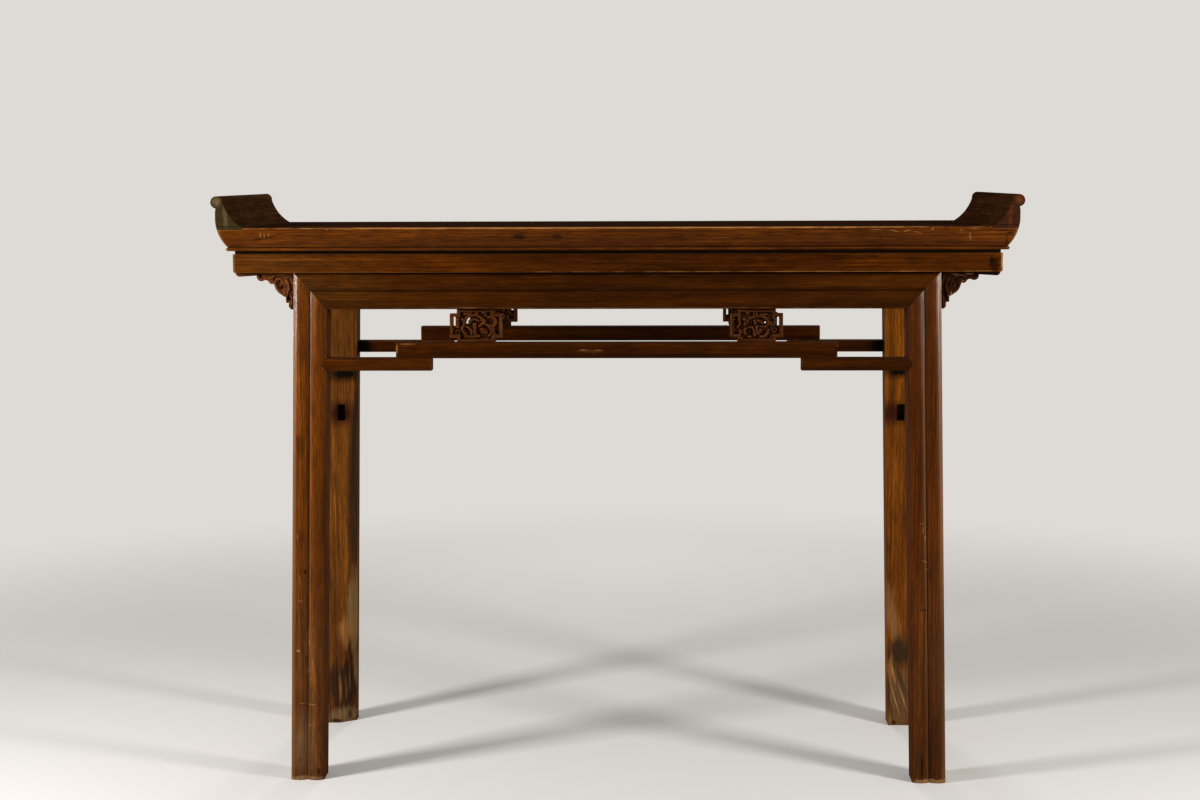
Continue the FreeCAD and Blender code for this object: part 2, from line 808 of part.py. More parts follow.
def build():
    parts = {"top_panel": top_panel()}
    for name, place in zip(("left", "middle", "right"), batten_places()):
        parts[name + "_batten"] = batten(place)
    pairs = [
        (front_and_rear, {"long_rail": long_rail(), "upper_apron": upper_apron()}),
        (front_and_rear, {"reeded_rail": reeded_rail(), "long_bar": long_bar()}),
        (left_and_right, {"end_rail": end_rail(), "flange": flange(), "end_apron": end_apron()}),
        (corner_set, {"leg": leg(), "spandrel": spandrel()}),
        (corner_set, {"short_bar": short_bar(), "ornament": ornament()}),
    ]
    for spread, shapes in pairs:
        for name, shape in shapes.items():
            for place, copy in spread(shape).items():
                parts[place + "_" + name] = copy
    parts["rear_left_leg"] = parts["rear_left_leg"].cut(to_left(to_rear(wane())))
    sides = (-1, 1)
    parts["lap_tenons"] = group([lap_tenon(side, 0) for side in sides])
    ends = [(side, upper) for side in sides for upper in (True, False)]
    parts["block_tenons"] = group([block_tenon(side, upper, 0) for side, upper in ends])
    return parts


os.makedirs("parts", exist_ok=True)
for node, shape in build().items():
    shape.exportStep("parts/" + node + ".step")
    state = "valid" if shape.isValid() else "NOT VALID"
    print(node, len(shape.Solids), "solids", round(shape.Volume), "mm3", state)
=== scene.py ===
import math
from functools import partial
import bmesh
import bpy
from mathutils import Matrix, Vector


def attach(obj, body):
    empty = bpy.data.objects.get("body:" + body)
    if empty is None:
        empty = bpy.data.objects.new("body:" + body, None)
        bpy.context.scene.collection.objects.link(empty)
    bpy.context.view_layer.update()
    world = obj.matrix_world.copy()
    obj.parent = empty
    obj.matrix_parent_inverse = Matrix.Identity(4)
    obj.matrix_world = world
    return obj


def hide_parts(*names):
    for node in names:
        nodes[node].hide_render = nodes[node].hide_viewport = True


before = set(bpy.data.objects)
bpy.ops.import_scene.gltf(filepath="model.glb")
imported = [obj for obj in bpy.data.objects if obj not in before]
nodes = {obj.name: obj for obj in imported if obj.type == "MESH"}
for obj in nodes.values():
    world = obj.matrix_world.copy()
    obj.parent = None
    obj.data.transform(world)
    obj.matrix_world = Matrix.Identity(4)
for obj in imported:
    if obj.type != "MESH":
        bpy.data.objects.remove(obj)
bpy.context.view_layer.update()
print("frame loaded:", len(nodes), "pieces of joinery")


def toLinear(hexColour):
    # sRGB hex to the linear colour that a shader wants
    parts = [int(hexColour[i:i + 2], 16) / 255 for i in (1, 3, 5)]
    return tuple(p / 12.92 if p <= 0.04045 else ((p + 0.055) / 1.055) ** 2.4 for p in parts) + (1.0,)


def addNode(tree, kind, feeds=(), out=0, **settings):
    # sets up a node, feeds its inputs with values or with other nodes' outputs (in order, or by number or
    # name), and gives back one of its outputs; stops are the places and colours of a ramp
    node = tree.nodes.new("ShaderNode" + kind)
    stops = settings.pop("stops", ())
    for key, value in settings.items():
        setattr(node, key, value)
    for key, value in feeds.items() if isinstance(feeds, dict) else enumerate(feeds):
        if isinstance(value, bpy.types.NodeSocket):
            tree.links.new(value, node.inputs[key])
        else:
            node.inputs[key].default_value = value
    if stops:
        ramp = node.color_ramp
        while len(ramp.elements) < len(stops):
            ramp.elements.new(0.5)
        for element, (place, colour) in zip(ramp.elements, stops):
            element.position = place
            element.color = colour
    return node.outputs[out] if len(node.outputs) else node


def blankMaterial(name):
    # an empty material, and addNode for its nodes
    material = bpy.data.materials.new(name)
    material.use_nodes = True
    material.node_tree.nodes.clear()
    return material, partial(addNode, material.node_tree)


elm = {
    "grainAlong": "x",
    "lightWood": "#7e420a", "midWood": "#532803", "darkWood": "#2d1202",
    # the grime colour is dirt and painted shade, the worn colour also paints a highlight on the reeds' flanks,
    # and the dust colour is dark dust and painted shade
    "wornWoodAndHighlight": "#a3703c", "grimeAndShade": "#0e0501", "dustColour": "#2c2019",
    "tint": "#ffffff",
    "woodStops": (0.22, 0.50, 0.80),    # where the dark, middle and light wood lie in the mixed grain
    "heart": (150, 790),                # mm, where the tree's heart runs, across the grain
    "ringSpacing": 8.0,                 # mm between growth rings
    "ringWander": 28.0,                 # mm over which a ring strays along the board
    "ringTones": [(0.0, 0.80), (0.10, 0.95), (0.55, 0.62), (0.88, 0.05), (1.0, 0.80)],   # late wood is dark
    "ringShow": 0.16, "fibreShow": 0.5, "streakShow": 0.34, "speckShow": 0.36, "poreShow": 0.55,
    "logShift": 7.3,                    # metres, the most that a piece is moved within the log
    "figure": (0.35, 1.15),             # how weak and how strong the grain gets along a board
    "clouds": (0.66, 1.28), "mottleShow": 0.2,      # uneven old oil
    "stainShow": 0.5, "stainSpread": (0.40, 0.30),
    "wear": 0.8, "arrisReach": 4.0, "arris": (0.62, 0.20),         # rubbed pale this many mm in from an arris
    "dirtAndShade": 0.9, "cornerReach": 13.0, "dirtFrom": 0.85, "dirtFull": 0.35,   # dirt and painted shade, mm out of a corner
    "dustAndShade": 0.0,                        # share of dark dust and painted shade on faces turned up
    "turnedUp": (0.5, 0.9),             # how far a face has turned up where that dark layer starts and is full
    "unwaxed": (0.45, 0.8),             # how far a face turns inwards or up where the wax thins out and ends
    "roughness": 0.29, "fibreRough": 0.12, "dirtRough": 0.25,
    "shine": 0.055, "shineColour": "#ffdcae",
    "wax": 0.0, "flankShine": 0.0,      # share of a wax coat, all over and on the outer flanks of reeds
    "waxIndex": 1.9,                    # more than wax has, to match the light on the reeds
    "relief": 0.25, "reliefStrength": 0.8,     # mm of raised grain
    "reliefFibre": 0.8, "reliefRing": 0.35, "reliefPore": -0.6,    # shares in it
    "dents": 0.9,                       # mm, how uneven the hand-planed face is
    "edgeRadius": 1.3,                  # mm, arris rubbed round
    "frayAlong": 30, "frayAcross": 6,   # mm, how a mark frays along the grain and across it
    "markFibres": (0.3, 0.7, 0.55, 1.35),   # two grain tones, and how dark and how pale they make a mark
    "samples": 6,                       # rays for each rounded or rubbed arris and each dirty corner
}

# patterns in the wood: mm along the grain, mm across it, detail, roughness
grain = {
    "fibre": (180.0, 2.0, 3.0, 0.6),    # drawn coarser than real fibres so that it shows
    "speck": (22.0, 1.5, 2.0, 0.6),     # short fine marks between the fibres
    "streak": (800.0, 9.0, 3.0, 0.5),
    "pore": (36.0, 2.0, 1.0, 0.5),      # open pores of elm, drawn coarser too
    "blotch": (462.0, 210.0, 4.0, 0.6),
    "mottle": (60.0, 12.0, 4.0, 0.7),
    "wander": (620.0, 70.0, 3.0, 0.45),
    "figure": (190.0, 24.0, 3.0, 0.6),
    "dent": (90.0, 26.0, 2.0, 0.5),
}
grainContrast = {"fibre": (0.28, 0.72), "speck": (0.3, 0.7), "streak": (0.3, 0.7), "pore": (0.57, 0.70)}
patchContrast = {"figure": (0.35, 0.65), "blotch": (0.32, 0.68), "mottle": (0.38, 0.62)}

# which world axis runs along the grain, and which two run across it
grainAxes = {"x": ("X", "Y", "Z"), "y": ("Y", "X", "Z"), "z": ("Z", "X", "Y")}


def addMark(add, position, colour, fibres, fray, mark):
    # a stain, knot, chip or scratch, or a painted shadow, shade or highlight, as a blob at a place in mm,
    # frayed along the grain and still showing the fibres; turn tilts it anticlockwise in the front view, in
    # degrees
    ragged, soft = mark.get("ragged", 0.9), mark.get("soft", 0.5)
    gap = add("VectorMath", [position, [v / 1000 for v in mark["at"]]], operation="SUBTRACT")
    if "turn" in mark:
        gap = add("VectorRotate", {"Vector": gap, "Angle": math.radians(mark["turn"])},
                  rotation_type="Y_AXIS")
    shape = add("VectorMath", [gap, [1000 / v for v in mark["size"]]], operation="MULTIPLY")
    far = add("VectorMath", [shape], "Value", operation="LENGTH")
    rag = add("TexNoise", {"Vector": add("VectorMath", [gap, fray], operation="MULTIPLY"), "Scale": 1.0,
                           "Detail": 3.0, "Roughness": 0.6})
    far = add("Math", [rag, ragged, far], operation="MULTIPLY_ADD")
    edge = 1 + ragged / 2
    amount = add("MapRange", [far, edge, edge - soft, 0.0, mark["amount"]])
    paint = toLinear(mark["colour"])
    if mark.get("keepGrain"):
        return add("Mix", {0: amount, 6: colour, 7: paint}, 2, data_type="RGBA", blend_type="MULTIPLY")
    paint = add("Mix", {0: 1.0, 6: fibres, 7: paint}, 2, data_type="RGBA", blend_type="MULTIPLY")
    return add("Mix", {0: amount, 6: colour, 7: paint}, 2, data_type="RGBA")


def elmMaterial(name, changes=None, marks=()):
    # oiled and waxed elm, hand planed: orange-brown, open grained, satin, dark with dirt and painted shade in
    # the corners and pale on worn arrises
    look = dict(elm, **(changes or {}))
    material, add = blankMaterial(name)
    position = add("TexCoord", out="Object")
    place = add("SeparateXYZ", [position]).node.outputs
    along, *across = [place[axis] for axis in grainAxes[look["grainAlong"]]]
    across = [add("Math", [value], operation="ABSOLUTE") for value in across]
    # each piece is cut from another part of the log
    shift = add("Math", [add("ObjectInfo", out="Random"), look["logShift"]], operation="MULTIPLY")
    board = add("CombineXYZ", [add("Math", [along, shift], operation="ADD"), *across])
    board = add("VectorMath", [board, add("CombineXYZ", {1: shift, 2: shift})], operation="ADD")
    made = {}
    for key, (length, width, detail, roughness) in grain.items():
        scaled = add("VectorMath", [board, (1000 / length, 1000 / width, 1000 / width)], operation="MULTIPLY")
        made[key] = add("TexNoise", {"Vector": scaled, "Scale": 1.0, "Detail": detail,
                                     "Roughness": roughness})
    for key, (low, high) in grainContrast.items():
        made[key] = add("MapRange", [made[key], low, high])

    # growth rings round the heart, straying along the board
    off = [add("Math", [value, middle / 1000], operation="SUBTRACT")
           for value, middle in zip(across, look["heart"])]
    radius = add("VectorMath", [add("CombineXYZ", {1: off[0], 2: off[1]})], "Value", operation="LENGTH")
    radius = add("Math", [made["wander"], look["ringWander"] / 1000, radius], operation="MULTIPLY_ADD")
    turns = add("Math", [radius, 1000 / look["ringSpacing"]], operation="MULTIPLY")
    made["ring"] = add("ValToRGB", [add("Math", [turns], operation="FRACT")],
                       stops=[(at, (tone, tone, tone, 1.0)) for at, tone in look["ringTones"]])

    # the grain's parts mixed, weaker in some places, then coloured
    shows = {key: look[key + "Show"] for key in ("ring", "fibre", "streak", "speck")}
    tone = 0.0
    for key, show in shows.items():
        tone = add("Math", [made[key], show / sum(shows.values()), tone], operation="MULTIPLY_ADD")
    figure = add("MapRange", [made["figure"], *patchContrast["figure"], *look["figure"]])
    tone = add("Math", [add("Math", [tone, 0.5], operation="SUBTRACT"), figure, 0.5],
               operation="MULTIPLY_ADD")
    woods = [toLinear(look[key]) for key in ("darkWood", "midWood", "lightWood")]
    colour = add("ValToRGB", [tone], stops=list(zip(look["woodStops"], woods)))
    clouds = add("MapRange", [made["blotch"], *patchContrast["blotch"], *look["clouds"]])
    mottling = (1 - look["mottleShow"], 1 + look["mottleShow"])
    patches = add("MapRange", [made["mottle"], *patchContrast["mottle"], *mottling])
    for factor in (toLinear(look["tint"]), add("Math", [clouds, patches], operation="MULTIPLY")):
        colour = add("Mix", {0: 1.0, 6: colour, 7: factor}, 2, data_type="RGBA", blend_type="MULTIPLY")

    # dark stains and pores, rubbed arrises that are paler, and inner corners darkened with dirt and painted
    # shade
    stains = add("MapRange", [made["mottle"], *look["stainSpread"], 0.0, look["stainShow"]])
    pores = add("Math", [made["pore"], look["poreShow"]], operation="MULTIPLY")
    outer = add("AmbientOcclusion", {"Distance": look["arrisReach"] / 1000}, "AO", samples=look["samples"],
                inside=True, only_local=True)
    rubbed = add("MapRange", [outer, *look["arris"]])
    worn = add("Math", [made["blotch"], look["wear"]], operation="MULTIPLY")
    rubbed = add("Math", [rubbed, worn], operation="MULTIPLY", use_clamp=True)
    hollow = add("AmbientOcclusion", {"Distance": look["cornerReach"] / 1000}, "AO", samples=look["samples"])
    dirtAndShade = add("MapRange", [hollow, look["dirtFrom"], look["dirtFull"], 0.0, look["dirtAndShade"]])
    layers = [(stains, "darkWood"), (pores, "darkWood"), (rubbed, "wornWoodAndHighlight"), (dirtAndShade, "grimeAndShade")]
    if "sunk" in look:
        # the carving's ground darker with depth: dirt and painted shade
        middle, low, high = [value / 1000 for value in look["sunk"]]
        depth = add("Math", [add("Math", [place["Y"]], operation="ABSOLUTE"), middle], operation="SUBTRACT")
        depth = add("Math", [depth], operation="ABSOLUTE")
        layers.append((add("MapRange", [depth, high, low, 0.0, look["sunkDirtAndShade"]]), "grimeAndShade"))

    facing = add("SeparateXYZ", [add("NewGeometry", out="True Normal")]).node.outputs
    side = add("Math", [add("Math", [place["X"], -1.0], operation="MULTIPLY")], operation="SIGN")
    inward = add("Math", [facing["X"], side], operation="MULTIPLY")
    flankWax = 0.0
    if "valley" in look:
        # a leg's two reeds: dirt and painted shade in the valley between them, painted shade on the inner side,
        # and on the outer flanks a shine, less towards the floor, and a paler colour, partly rubbed and partly
        # a painted highlight
        middle, slope = look["valley"]
        offValley = add("Math", [place["Z"], slope, add("Math", [place["X"]], operation="ABSOLUTE")],
                        operation="MULTIPLY_ADD")
        offValley = add("Math", [offValley, middle / 1000], operation="SUBTRACT")
        outerReed = add("Math", [offValley, 0.0], operation="GREATER_THAN")
        flank = [add("Math", [outerReed, look["outerTurn"], turn], operation="MULTIPLY_ADD")
                 for turn in look["flank"]]
        flank = add("MapRange", [inward, *flank])
        highUp = add("MapRange", [place["Z"], *look["waxHeights"], look["thinWax"], 1.0])
        flankWax = add("Math", [highUp, look["flankShine"]], operation="MULTIPLY")
        flankWax = add("Math", [flank, flankWax], operation="MULTIPLY")
        outward = add("Math", [facing["Y"], add("Math", [place["Y"]], operation="SIGN")],
                      operation="MULTIPLY")
        reeded = add("Math", [outward, look["reededTurn"]], operation="GREATER_THAN")
        groove = [value / 1000 for value in look["groove"]]
        groove = add("MapRange", [add("Math", [offValley], operation="ABSOLUTE"), *groove, 0.0,
                                  look["grooveDark"]])
        groove = add("Math", [groove, reeded], operation="MULTIPLY")
        # painted shade on the side towards the knee space
        inner = add("MapRange", [inward, *look["innerTurn"], 0.0, look["innerShade"]])
        # outer flanks paler, partly rubbed and partly a painted highlight; the valley darker with dirt and
        # painted shade
        layers += [(add("Math", [flank, look["flankRubAndHighlight"]], operation="MULTIPLY"), "wornWoodAndHighlight"),
                   (add("Math", [groove, inner], operation="MAXIMUM"), "grimeAndShade")]
    # dark dust and painted shade on faces turned up
    layers.append((add("MapRange", [facing["Z"], *look["turnedUp"], 0.0, look["dustAndShade"]]), "dustColour"))
    for amount, key in layers:
        colour = add("Mix", {0: amount, 6: colour, 7: toLinear(look[key])}, 2, data_type="RGBA")
    fibres = add("MapRange", [tone, *look["markFibres"]])
    fray = [1000 / look["frayAlong" if axis == look["grainAlong"] else "frayAcross"] for axis in "xyz"]
    for mark in marks:
        colour = addMark(add, position, colour, fibres, fray, mark)

    # wax went on the outside only: faces turned to the middle of the table or upwards are dull
    unwaxed = [add("Math", [value, 0.0], operation="MAXIMUM") for value in (inward, facing["Z"])]
    unwaxed = add("MapRange", [add("Math", unwaxed, operation="ADD"), *look["unwaxed"]])
    rough = add("Math", [made["fibre"], look["fibreRough"], look["roughness"] - look["fibreRough"] / 2],
                operation="MULTIPLY_ADD")
    rough = add("Math", [dirtAndShade, look["dirtRough"], rough], operation="MULTIPLY_ADD")
    rough = add("Math", [rough, unwaxed], operation="MAXIMUM")

    # raised grain on a face planed by hand
    height = 0.0
    for key, share in (("ring", "reliefRing"), ("fibre", "reliefFibre"), ("pore", "reliefPore")):
        height = add("Math", [made[key], look[share], height], operation="MULTIPLY_ADD")
    normal = add("Bevel", {"Radius": look["edgeRadius"] / 1000}, samples=look["samples"])
    for strength, depth, shape in ((1.0, look["dents"], made["dent"]),
                                   (look["reliefStrength"], look["relief"], height)):
        normal = add("Bump", {"Strength": strength, "Distance": depth / 1000, "Height": shape,
                              "Normal": normal})
    finish = {"Base Color": colour, "Roughness": rough, "Normal": normal, "IOR": 1.5,
              "Specular IOR Level": look["shine"], "Specular Tint": toLinear(look["shineColour"])}
    if look["wax"] or look["flankShine"]:
        waxed = add("Math", [flankWax, look["wax"]], operation="ADD")
        finish["Coat Weight"] = add("Math", [unwaxed, -look["wax"], waxed], operation="MULTIPLY_ADD")
        finish.update({"Coat Roughness": look["roughness"], "Coat IOR": look["waxIndex"],
                       "Coat Normal": normal})
    add("OutputMaterial", {"Surface": add("BsdfPrincipled", finish)})
    return material


def spot(x, y, z, wide, high, colour, amount, **more):
    # a mark on a face towards the front or the rear
    return dict({"at": (x, y, z), "size": (wide, 25, high), "colour": colour, "amount": amount}, **more)


def paintedShade(x, z, wide, colour):
    # painted shade: a broad soft darkening along a rail where less light falls, which keeps the grain
    return spot(x, -190, z, wide, 400, colour, 0.9, ragged=0.3, soft=1.0, keepGrain=True)


# the soot colour also paints shadows and shade, and the pale scratch colour also a highlight on the long bar
darkSpot, paleScratchAndHighlight, sootAndShade, bareWood = "#170a05", "#a2743f", "#070301", "#8a6640"

topMarks = [
    # first a painted shade where less light falls
    paintedShade(300, 880, 640, "#cfc6b8"), spot(-562, -199, 889, 1.1, 5, paleScratchAndHighlight, 0.7, turn=4),
    spot(-556, -199, 888, 0.9, 6, paleScratchAndHighlight, 0.55), spot(-549, -199, 889, 0.9, 4, paleScratchAndHighlight, 0.55),
    spot(-456, -203, 897, 5, 0.9, paleScratchAndHighlight, 0.5),
    spot(-423, -203, 897, 12, 0.7, paleScratchAndHighlight, 0.5, ragged=1.4),
    spot(-566, -197, 882, 18, 2.4, darkSpot, 0.7, turn=14),
    spot(-545, -198, 886, 22, 1.8, darkSpot, 0.65, turn=17),
    spot(408, -202, 895, 14, 0.7, paleScratchAndHighlight, 0.6, ragged=1.5),
    spot(437, -202, 893, 12, 0.8, paleScratchAndHighlight, 0.65, turn=-10),
    spot(456, -202, 893, 8, 0.8, paleScratchAndHighlight, 0.65, turn=14),
    spot(474, -202, 891, 9, 0.7, paleScratchAndHighlight, 0.5, turn=-8),
    spot(497, -203, 896, 1.4, 4, paleScratchAndHighlight, 0.55, turn=-30),
    spot(542, -202, 894, 4, 0.8, paleScratchAndHighlight, 0.6, turn=-20),
    spot(556, -198, 884, 0.9, 8, paleScratchAndHighlight, 0.7, turn=9),
    spot(563, -203, 896, 12, 0.7, paleScratchAndHighlight, 0.55, ragged=1.3), spot(417, -198, 883, 4, 2, darkSpot, 0.8),
    spot(389, -198, 887, 14, 1.4, darkSpot, 0.5), spot(-490, -190, 865, 7, 1.6, "#3a3126", 0.8),
    spot(606, -202, 893, 11, 1.8, darkSpot, 0.85, turn=8),
    spot(618, -201, 890, 9, 2.2, darkSpot, 0.85, ragged=1.4),
    spot(614, -198, 876, 2.2, 12, darkSpot, 0.6, turn=10, ragged=1.6),
    spot(598, -196, 868, 16, 2.0, darkSpot, 0.6), spot(592, -203, 899, 5, 1.2, paleScratchAndHighlight, 0.7),
    spot(612, -203, 899, 6, 1.2, paleScratchAndHighlight, 0.6),
    spot(-151, -200, 884, 13, 5, darkSpot, 0.85, ragged=1.2),
    spot(-92, -200, 884, 12, 6, darkSpot, 0.75, ragged=1.4),
    {"at": (-20, -205, 899.2), "size": (640, 5, 1.9), "colour": "#c98a4c", "amount": 0.6, "ragged": 1.4},
]
# thin wax on planed elm: satin, with dark dust and painted shade on what faces up
topShades = {"heart": (165, 800), "dustAndShade": 0.75, "shine": 0.0, "wax": 0.046}
frontTop = elmMaterial("waxed elm, planed, front rail of the top", dict(topShades, tint="#fffade"), topMarks)
topRails = elmMaterial("waxed elm, planed, rails of the top", dict(topShades, tint="#f2ecd4"))
topEnds = elmMaterial("waxed elm, planed, end rails",
                      dict(topShades, grainAlong="y", heart=(560, 800), tint="#e8dcc8"))
# never waxed: greyer and duller than its frame, with wide rings
panelWood = elmMaterial("dry elm, planed, panel", {"heart": (30, 700), "ringSpacing": 12.0, "roughness": 0.5,
                                                   "tint": "#a8a09c", "dustAndShade": 0.55, "shine": 0.0})
apronMarks = [
    # first a painted shade where less light falls
    paintedShade(170, 845, 600, "#9a988c"), spot(-560, -190, 845, 230, 40, "#85602e", 0.09, soft=0.9),
    # painted shadow: a dark band along the apron's top, under the bead
    spot(0, -186, 861, 900, 4.0, sootAndShade, 0.9, ragged=0.3, soft=0.3),
    spot(592, -188, 846, 3.5, 9, sootAndShade, 0.7, ragged=1.3),
    spot(596, -188, 838, 10, 14, "#5c5030", 0.8, keepGrain=True),
    # painted highlight: a pale strip on the apron's right arris
    spot(609, -187, 845, 1.7, 15, "#a87850", 0.85, ragged=0.5),
    spot(466, -188, 849, 10, 2.4, darkSpot, 0.5, ragged=1.2), spot(408, -188, 852, 8, 2.5, darkSpot, 0.7),
    spot(-300, -188, 836, 60, 1.2, darkSpot, 0.5, turn=-1),
    spot(90, -188, 840, 110, 1.2, darkSpot, 0.45, turn=1),
    spot(260, -189, 829, 420, 0.8, paleScratchAndHighlight, 0.3, ragged=3.4),
]
frontApron = elmMaterial("waxed elm, planed, front apron",
                         {"heart": (120, 845), "tint": "#d0c4b6", "streakShow": 0.4}, apronMarks)
apronWood = elmMaterial("waxed elm, planed, aprons", {"heart": (120, 845), "tint": "#c8bcb0"})
apronEndWood = elmMaterial("waxed elm, planed, end aprons", {"grainAlong": "y", "heart": (560, 845),
                                                             "tint": "#c8bcb0"})
railMarks = [
    # first a painted shade where less light falls
    paintedShade(100, 800, 520, "#d2ccc0"), spot(-492, -186, 807, 8, 3, "#2a150a", 0.5),
    spot(-240, -186, 772, 40, 0.8, paleScratchAndHighlight, 0.35), spot(160, -186, 788, 90, 1.0, darkSpot, 0.5),
    # a dark line in the valley between the reeds: dirt and painted shade
    spot(0, -184, 798.5, 2000, 1.1, sootAndShade, 0.75, ragged=0.8),
    spot(-560, -186, 800, 240, 60, "#85602e", 0.08, soft=0.9),
    # painted shade on the lower reed at the right, and painted light on the upper reed there
    spot(380, -186, 784, 190, 15, "#2c1404", 0.6, soft=0.9),
    spot(390, -186, 814, 130, 12, "#84491c", 0.1, soft=0.9),
    spot(60, -186, 771, 420, 0.9, paleScratchAndHighlight, 0.25, ragged=3.2),
]
railWood = elmMaterial("waxed elm, moulded, reeded rails", {"heart": (110, 800), "tint": "#b6b09c"},
                       railMarks)
longBarWood = elmMaterial("waxed elm, planed, long stretchers", {"heart": (120, 690), "tint": "#aa9e8e"}, [
    spot(351, -186, 705, 3.4, 4, sootAndShade, 0.9), spot(334, 172, 694, 26, 12, sootAndShade, 0.5),
    # painted shade over the rear bar's front face
    spot(0, 172, 694, 900, 60, "#e6dcd4", 0.9, ragged=0.3, keepGrain=True),
    # painted highlights on the front bar's left end and upper arris
    spot(-350, -186, 705, 1.4, 9, paleScratchAndHighlight, 0.6, ragged=1.0),
    spot(-334, -186, 714, 16, 0.9, "#9a6c3a", 0.4, ragged=1.6),
    spot(-40, -186, 702, 24, 4, "#70421c", 0.3, ragged=2.0),
    spot(-52, -186, 704.5, 9, 1.0, "#a8743f", 0.45, ragged=1.4),
    spot(-28, -186, 704, 8, 0.9, "#a8743f", 0.45, ragged=1.4),
    spot(-140, -186, 711, 60, 1.2, darkSpot, 0.6, ragged=1.6)])
leftBarWood = elmMaterial("waxed elm, planed, left short stretchers",
                          {"heart": (120, 690), "tint": "#bcb0a0"},
                          # a painted shadow of the front leg, near the rear leg
                          [spot(-458, 160, 678, 32, 20, sootAndShade, 1.0, ragged=0.8, soft=0.6)])
rightBarWood = elmMaterial("waxed elm, planed, right short stretchers",
                           {"heart": (120, 690), "tint": "#9c9284"},
                           # a painted shadow of the front leg, near the rear leg
                           [spot(462, 160, 681, 36, 20, sootAndShade, 1.0, ragged=0.8, soft=0.6)])
# waxed along the reeds: their outer flanks shine and are paler, partly rubbed and partly a painted highlight;
# dirt and painted shade darken the valley between them, and painted shade the inner side
legShades = {
    "grainAlong": "z", "heart": (440, 130), "darkWood": "#3a1a05", "lightWood": "#7a4310",
    "shine": 0.03, "wax": 0.032, "roughness": 0.24, "dents": 0.4,
    "valley": (506.0, 0.0223),      # mm from the table's middle to the reeds' valley at the floor, and slope
    "groove": (1.3, 0.3), "grooveDark": 0.8,   # mm off the valley where its dark line starts and is full
    "innerShade": 0.5,               # how dark the painted shade on the side towards the knee space is
    "innerTurn": (0.5, 0.9),        # how far a face has turned inwards where that starts and is full
    "reededTurn": 0.2,              # a face turned more than this to the front or the rear has reeds
    "flank": (-0.46, -0.66),        # how far a face has turned outwards where a flank starts and is full
    "outerTurn": 0.16,              # so much less on the outer reed
    # the flanks' wax shine, and how much paler they are: partly rubbed, partly a painted highlight
    "flankShine": 0.66, "flankRubAndHighlight": 0.22,
    "waxHeights": (0.25, 0.74),     # metres up where the flanks' wax is thin and where it is full
    "thinWax": 0.1,                 # its share where it is thin
}
footRub = spot(-510, -194, 3, 40, 5, bareWood, 0.7, ragged=1.6)
frontLeftWood = elmMaterial("waxed elm, moulded, front left leg", dict(legShades, flankShine=0.68), [
    spot(-508, -192, 170, 60, 240, "#806040", 0.08, soft=0.9),
    spot(-498, -192, 200, 9, 70, "#94602f", 0.2, ragged=2.6), spot(-504, -191, 345, 2.4, 4, sootAndShade, 0.85),
    spot(-516, -193, 34, 4, 7, "#2a0f08", 0.8), spot(-487, -193, 15, 4, 9, darkSpot, 0.8, ragged=1.4),
    spot(-512, -191, 297, 5, 0.9, paleScratchAndHighlight, 0.6, turn=-15),
    spot(-517, -191, 215, 4, 3, "#a5703f", 0.6, ragged=1.4),
    spot(-497, -193, 126, 10, 1.0, paleScratchAndHighlight, 0.5), spot(-512, -193, 128, 7, 0.9, paleScratchAndHighlight, 0.4),
    spot(-500, -193, 92, 8, 0.9, paleScratchAndHighlight, 0.4), spot(-499, -192, 228, 1.2, 6, paleScratchAndHighlight, 0.5),
    spot(-495, -192, 196, 1.2, 8, paleScratchAndHighlight, 0.5), spot(-503, -192, 182, 1.0, 5, paleScratchAndHighlight, 0.5),
    spot(-497, -192, 168, 1.2, 4, paleScratchAndHighlight, 0.5), spot(-512, -191, 330, 1.0, 12, paleScratchAndHighlight, 0.4),
    spot(-515, -190, 402, 1.2, 6, paleScratchAndHighlight, 0.4),
    spot(-508, -188, 550, 9, 22, "#8a7458", 0.6, ragged=2.0, keepGrain=True),
    spot(-512, -193, 60, 30, 70, "#8a6848", 0.3, ragged=1.2, soft=0.9), footRub])
frontRightWood = elmMaterial("waxed elm, moulded, front right leg",
                             dict(legShades, tint="#dcd2c2", flankRubAndHighlight=0.25, flank=(-0.38, -0.66),
                                  innerShade=0.25), [
    spot(504, -192, 190, 60, 260, "#6c4c28", 0.08, soft=0.9),
    # painted shade on the outer reed's lower half
    spot(522, -192, 190, 20, 220, "#3c220e", 0.8, soft=0.9),
    spot(506, -193, 60, 34, 130, "#907058", 0.5, soft=0.9, keepGrain=True),
    dict(footRub, at=(510, -194, 3)), spot(510, -189, 487, 4, 4, "#4a1c0a", 0.8, ragged=1.4),
    spot(493, -191, 285, 6, 1.8, darkSpot, 0.75, turn=-20),
    spot(507, -193, 72, 7, 2.4, "#3a120a", 0.8, ragged=1.4),
    spot(494, -191, 364, 7, 1.0, paleScratchAndHighlight, 0.5, turn=-25),
    spot(497, -191, 350, 5, 0.9, paleScratchAndHighlight, 0.45, turn=40),
    spot(489, -193, 34, 6, 28, "#2a1e12", 0.6, ragged=1.4),
    spot(494, -193, 28, 2.2, 24, sootAndShade, 0.9, turn=3, ragged=0.5),
    spot(491, -192, 415, 1.0, 8, paleScratchAndHighlight, 0.5), spot(494, -192, 402, 1.2, 5, paleScratchAndHighlight, 0.5),
    spot(489, -192, 425, 3, 1.0, paleScratchAndHighlight, 0.5)])
rearLegShades = dict(legShades, flankShine=0.0, innerShade=0.0, streakShow=0.4)
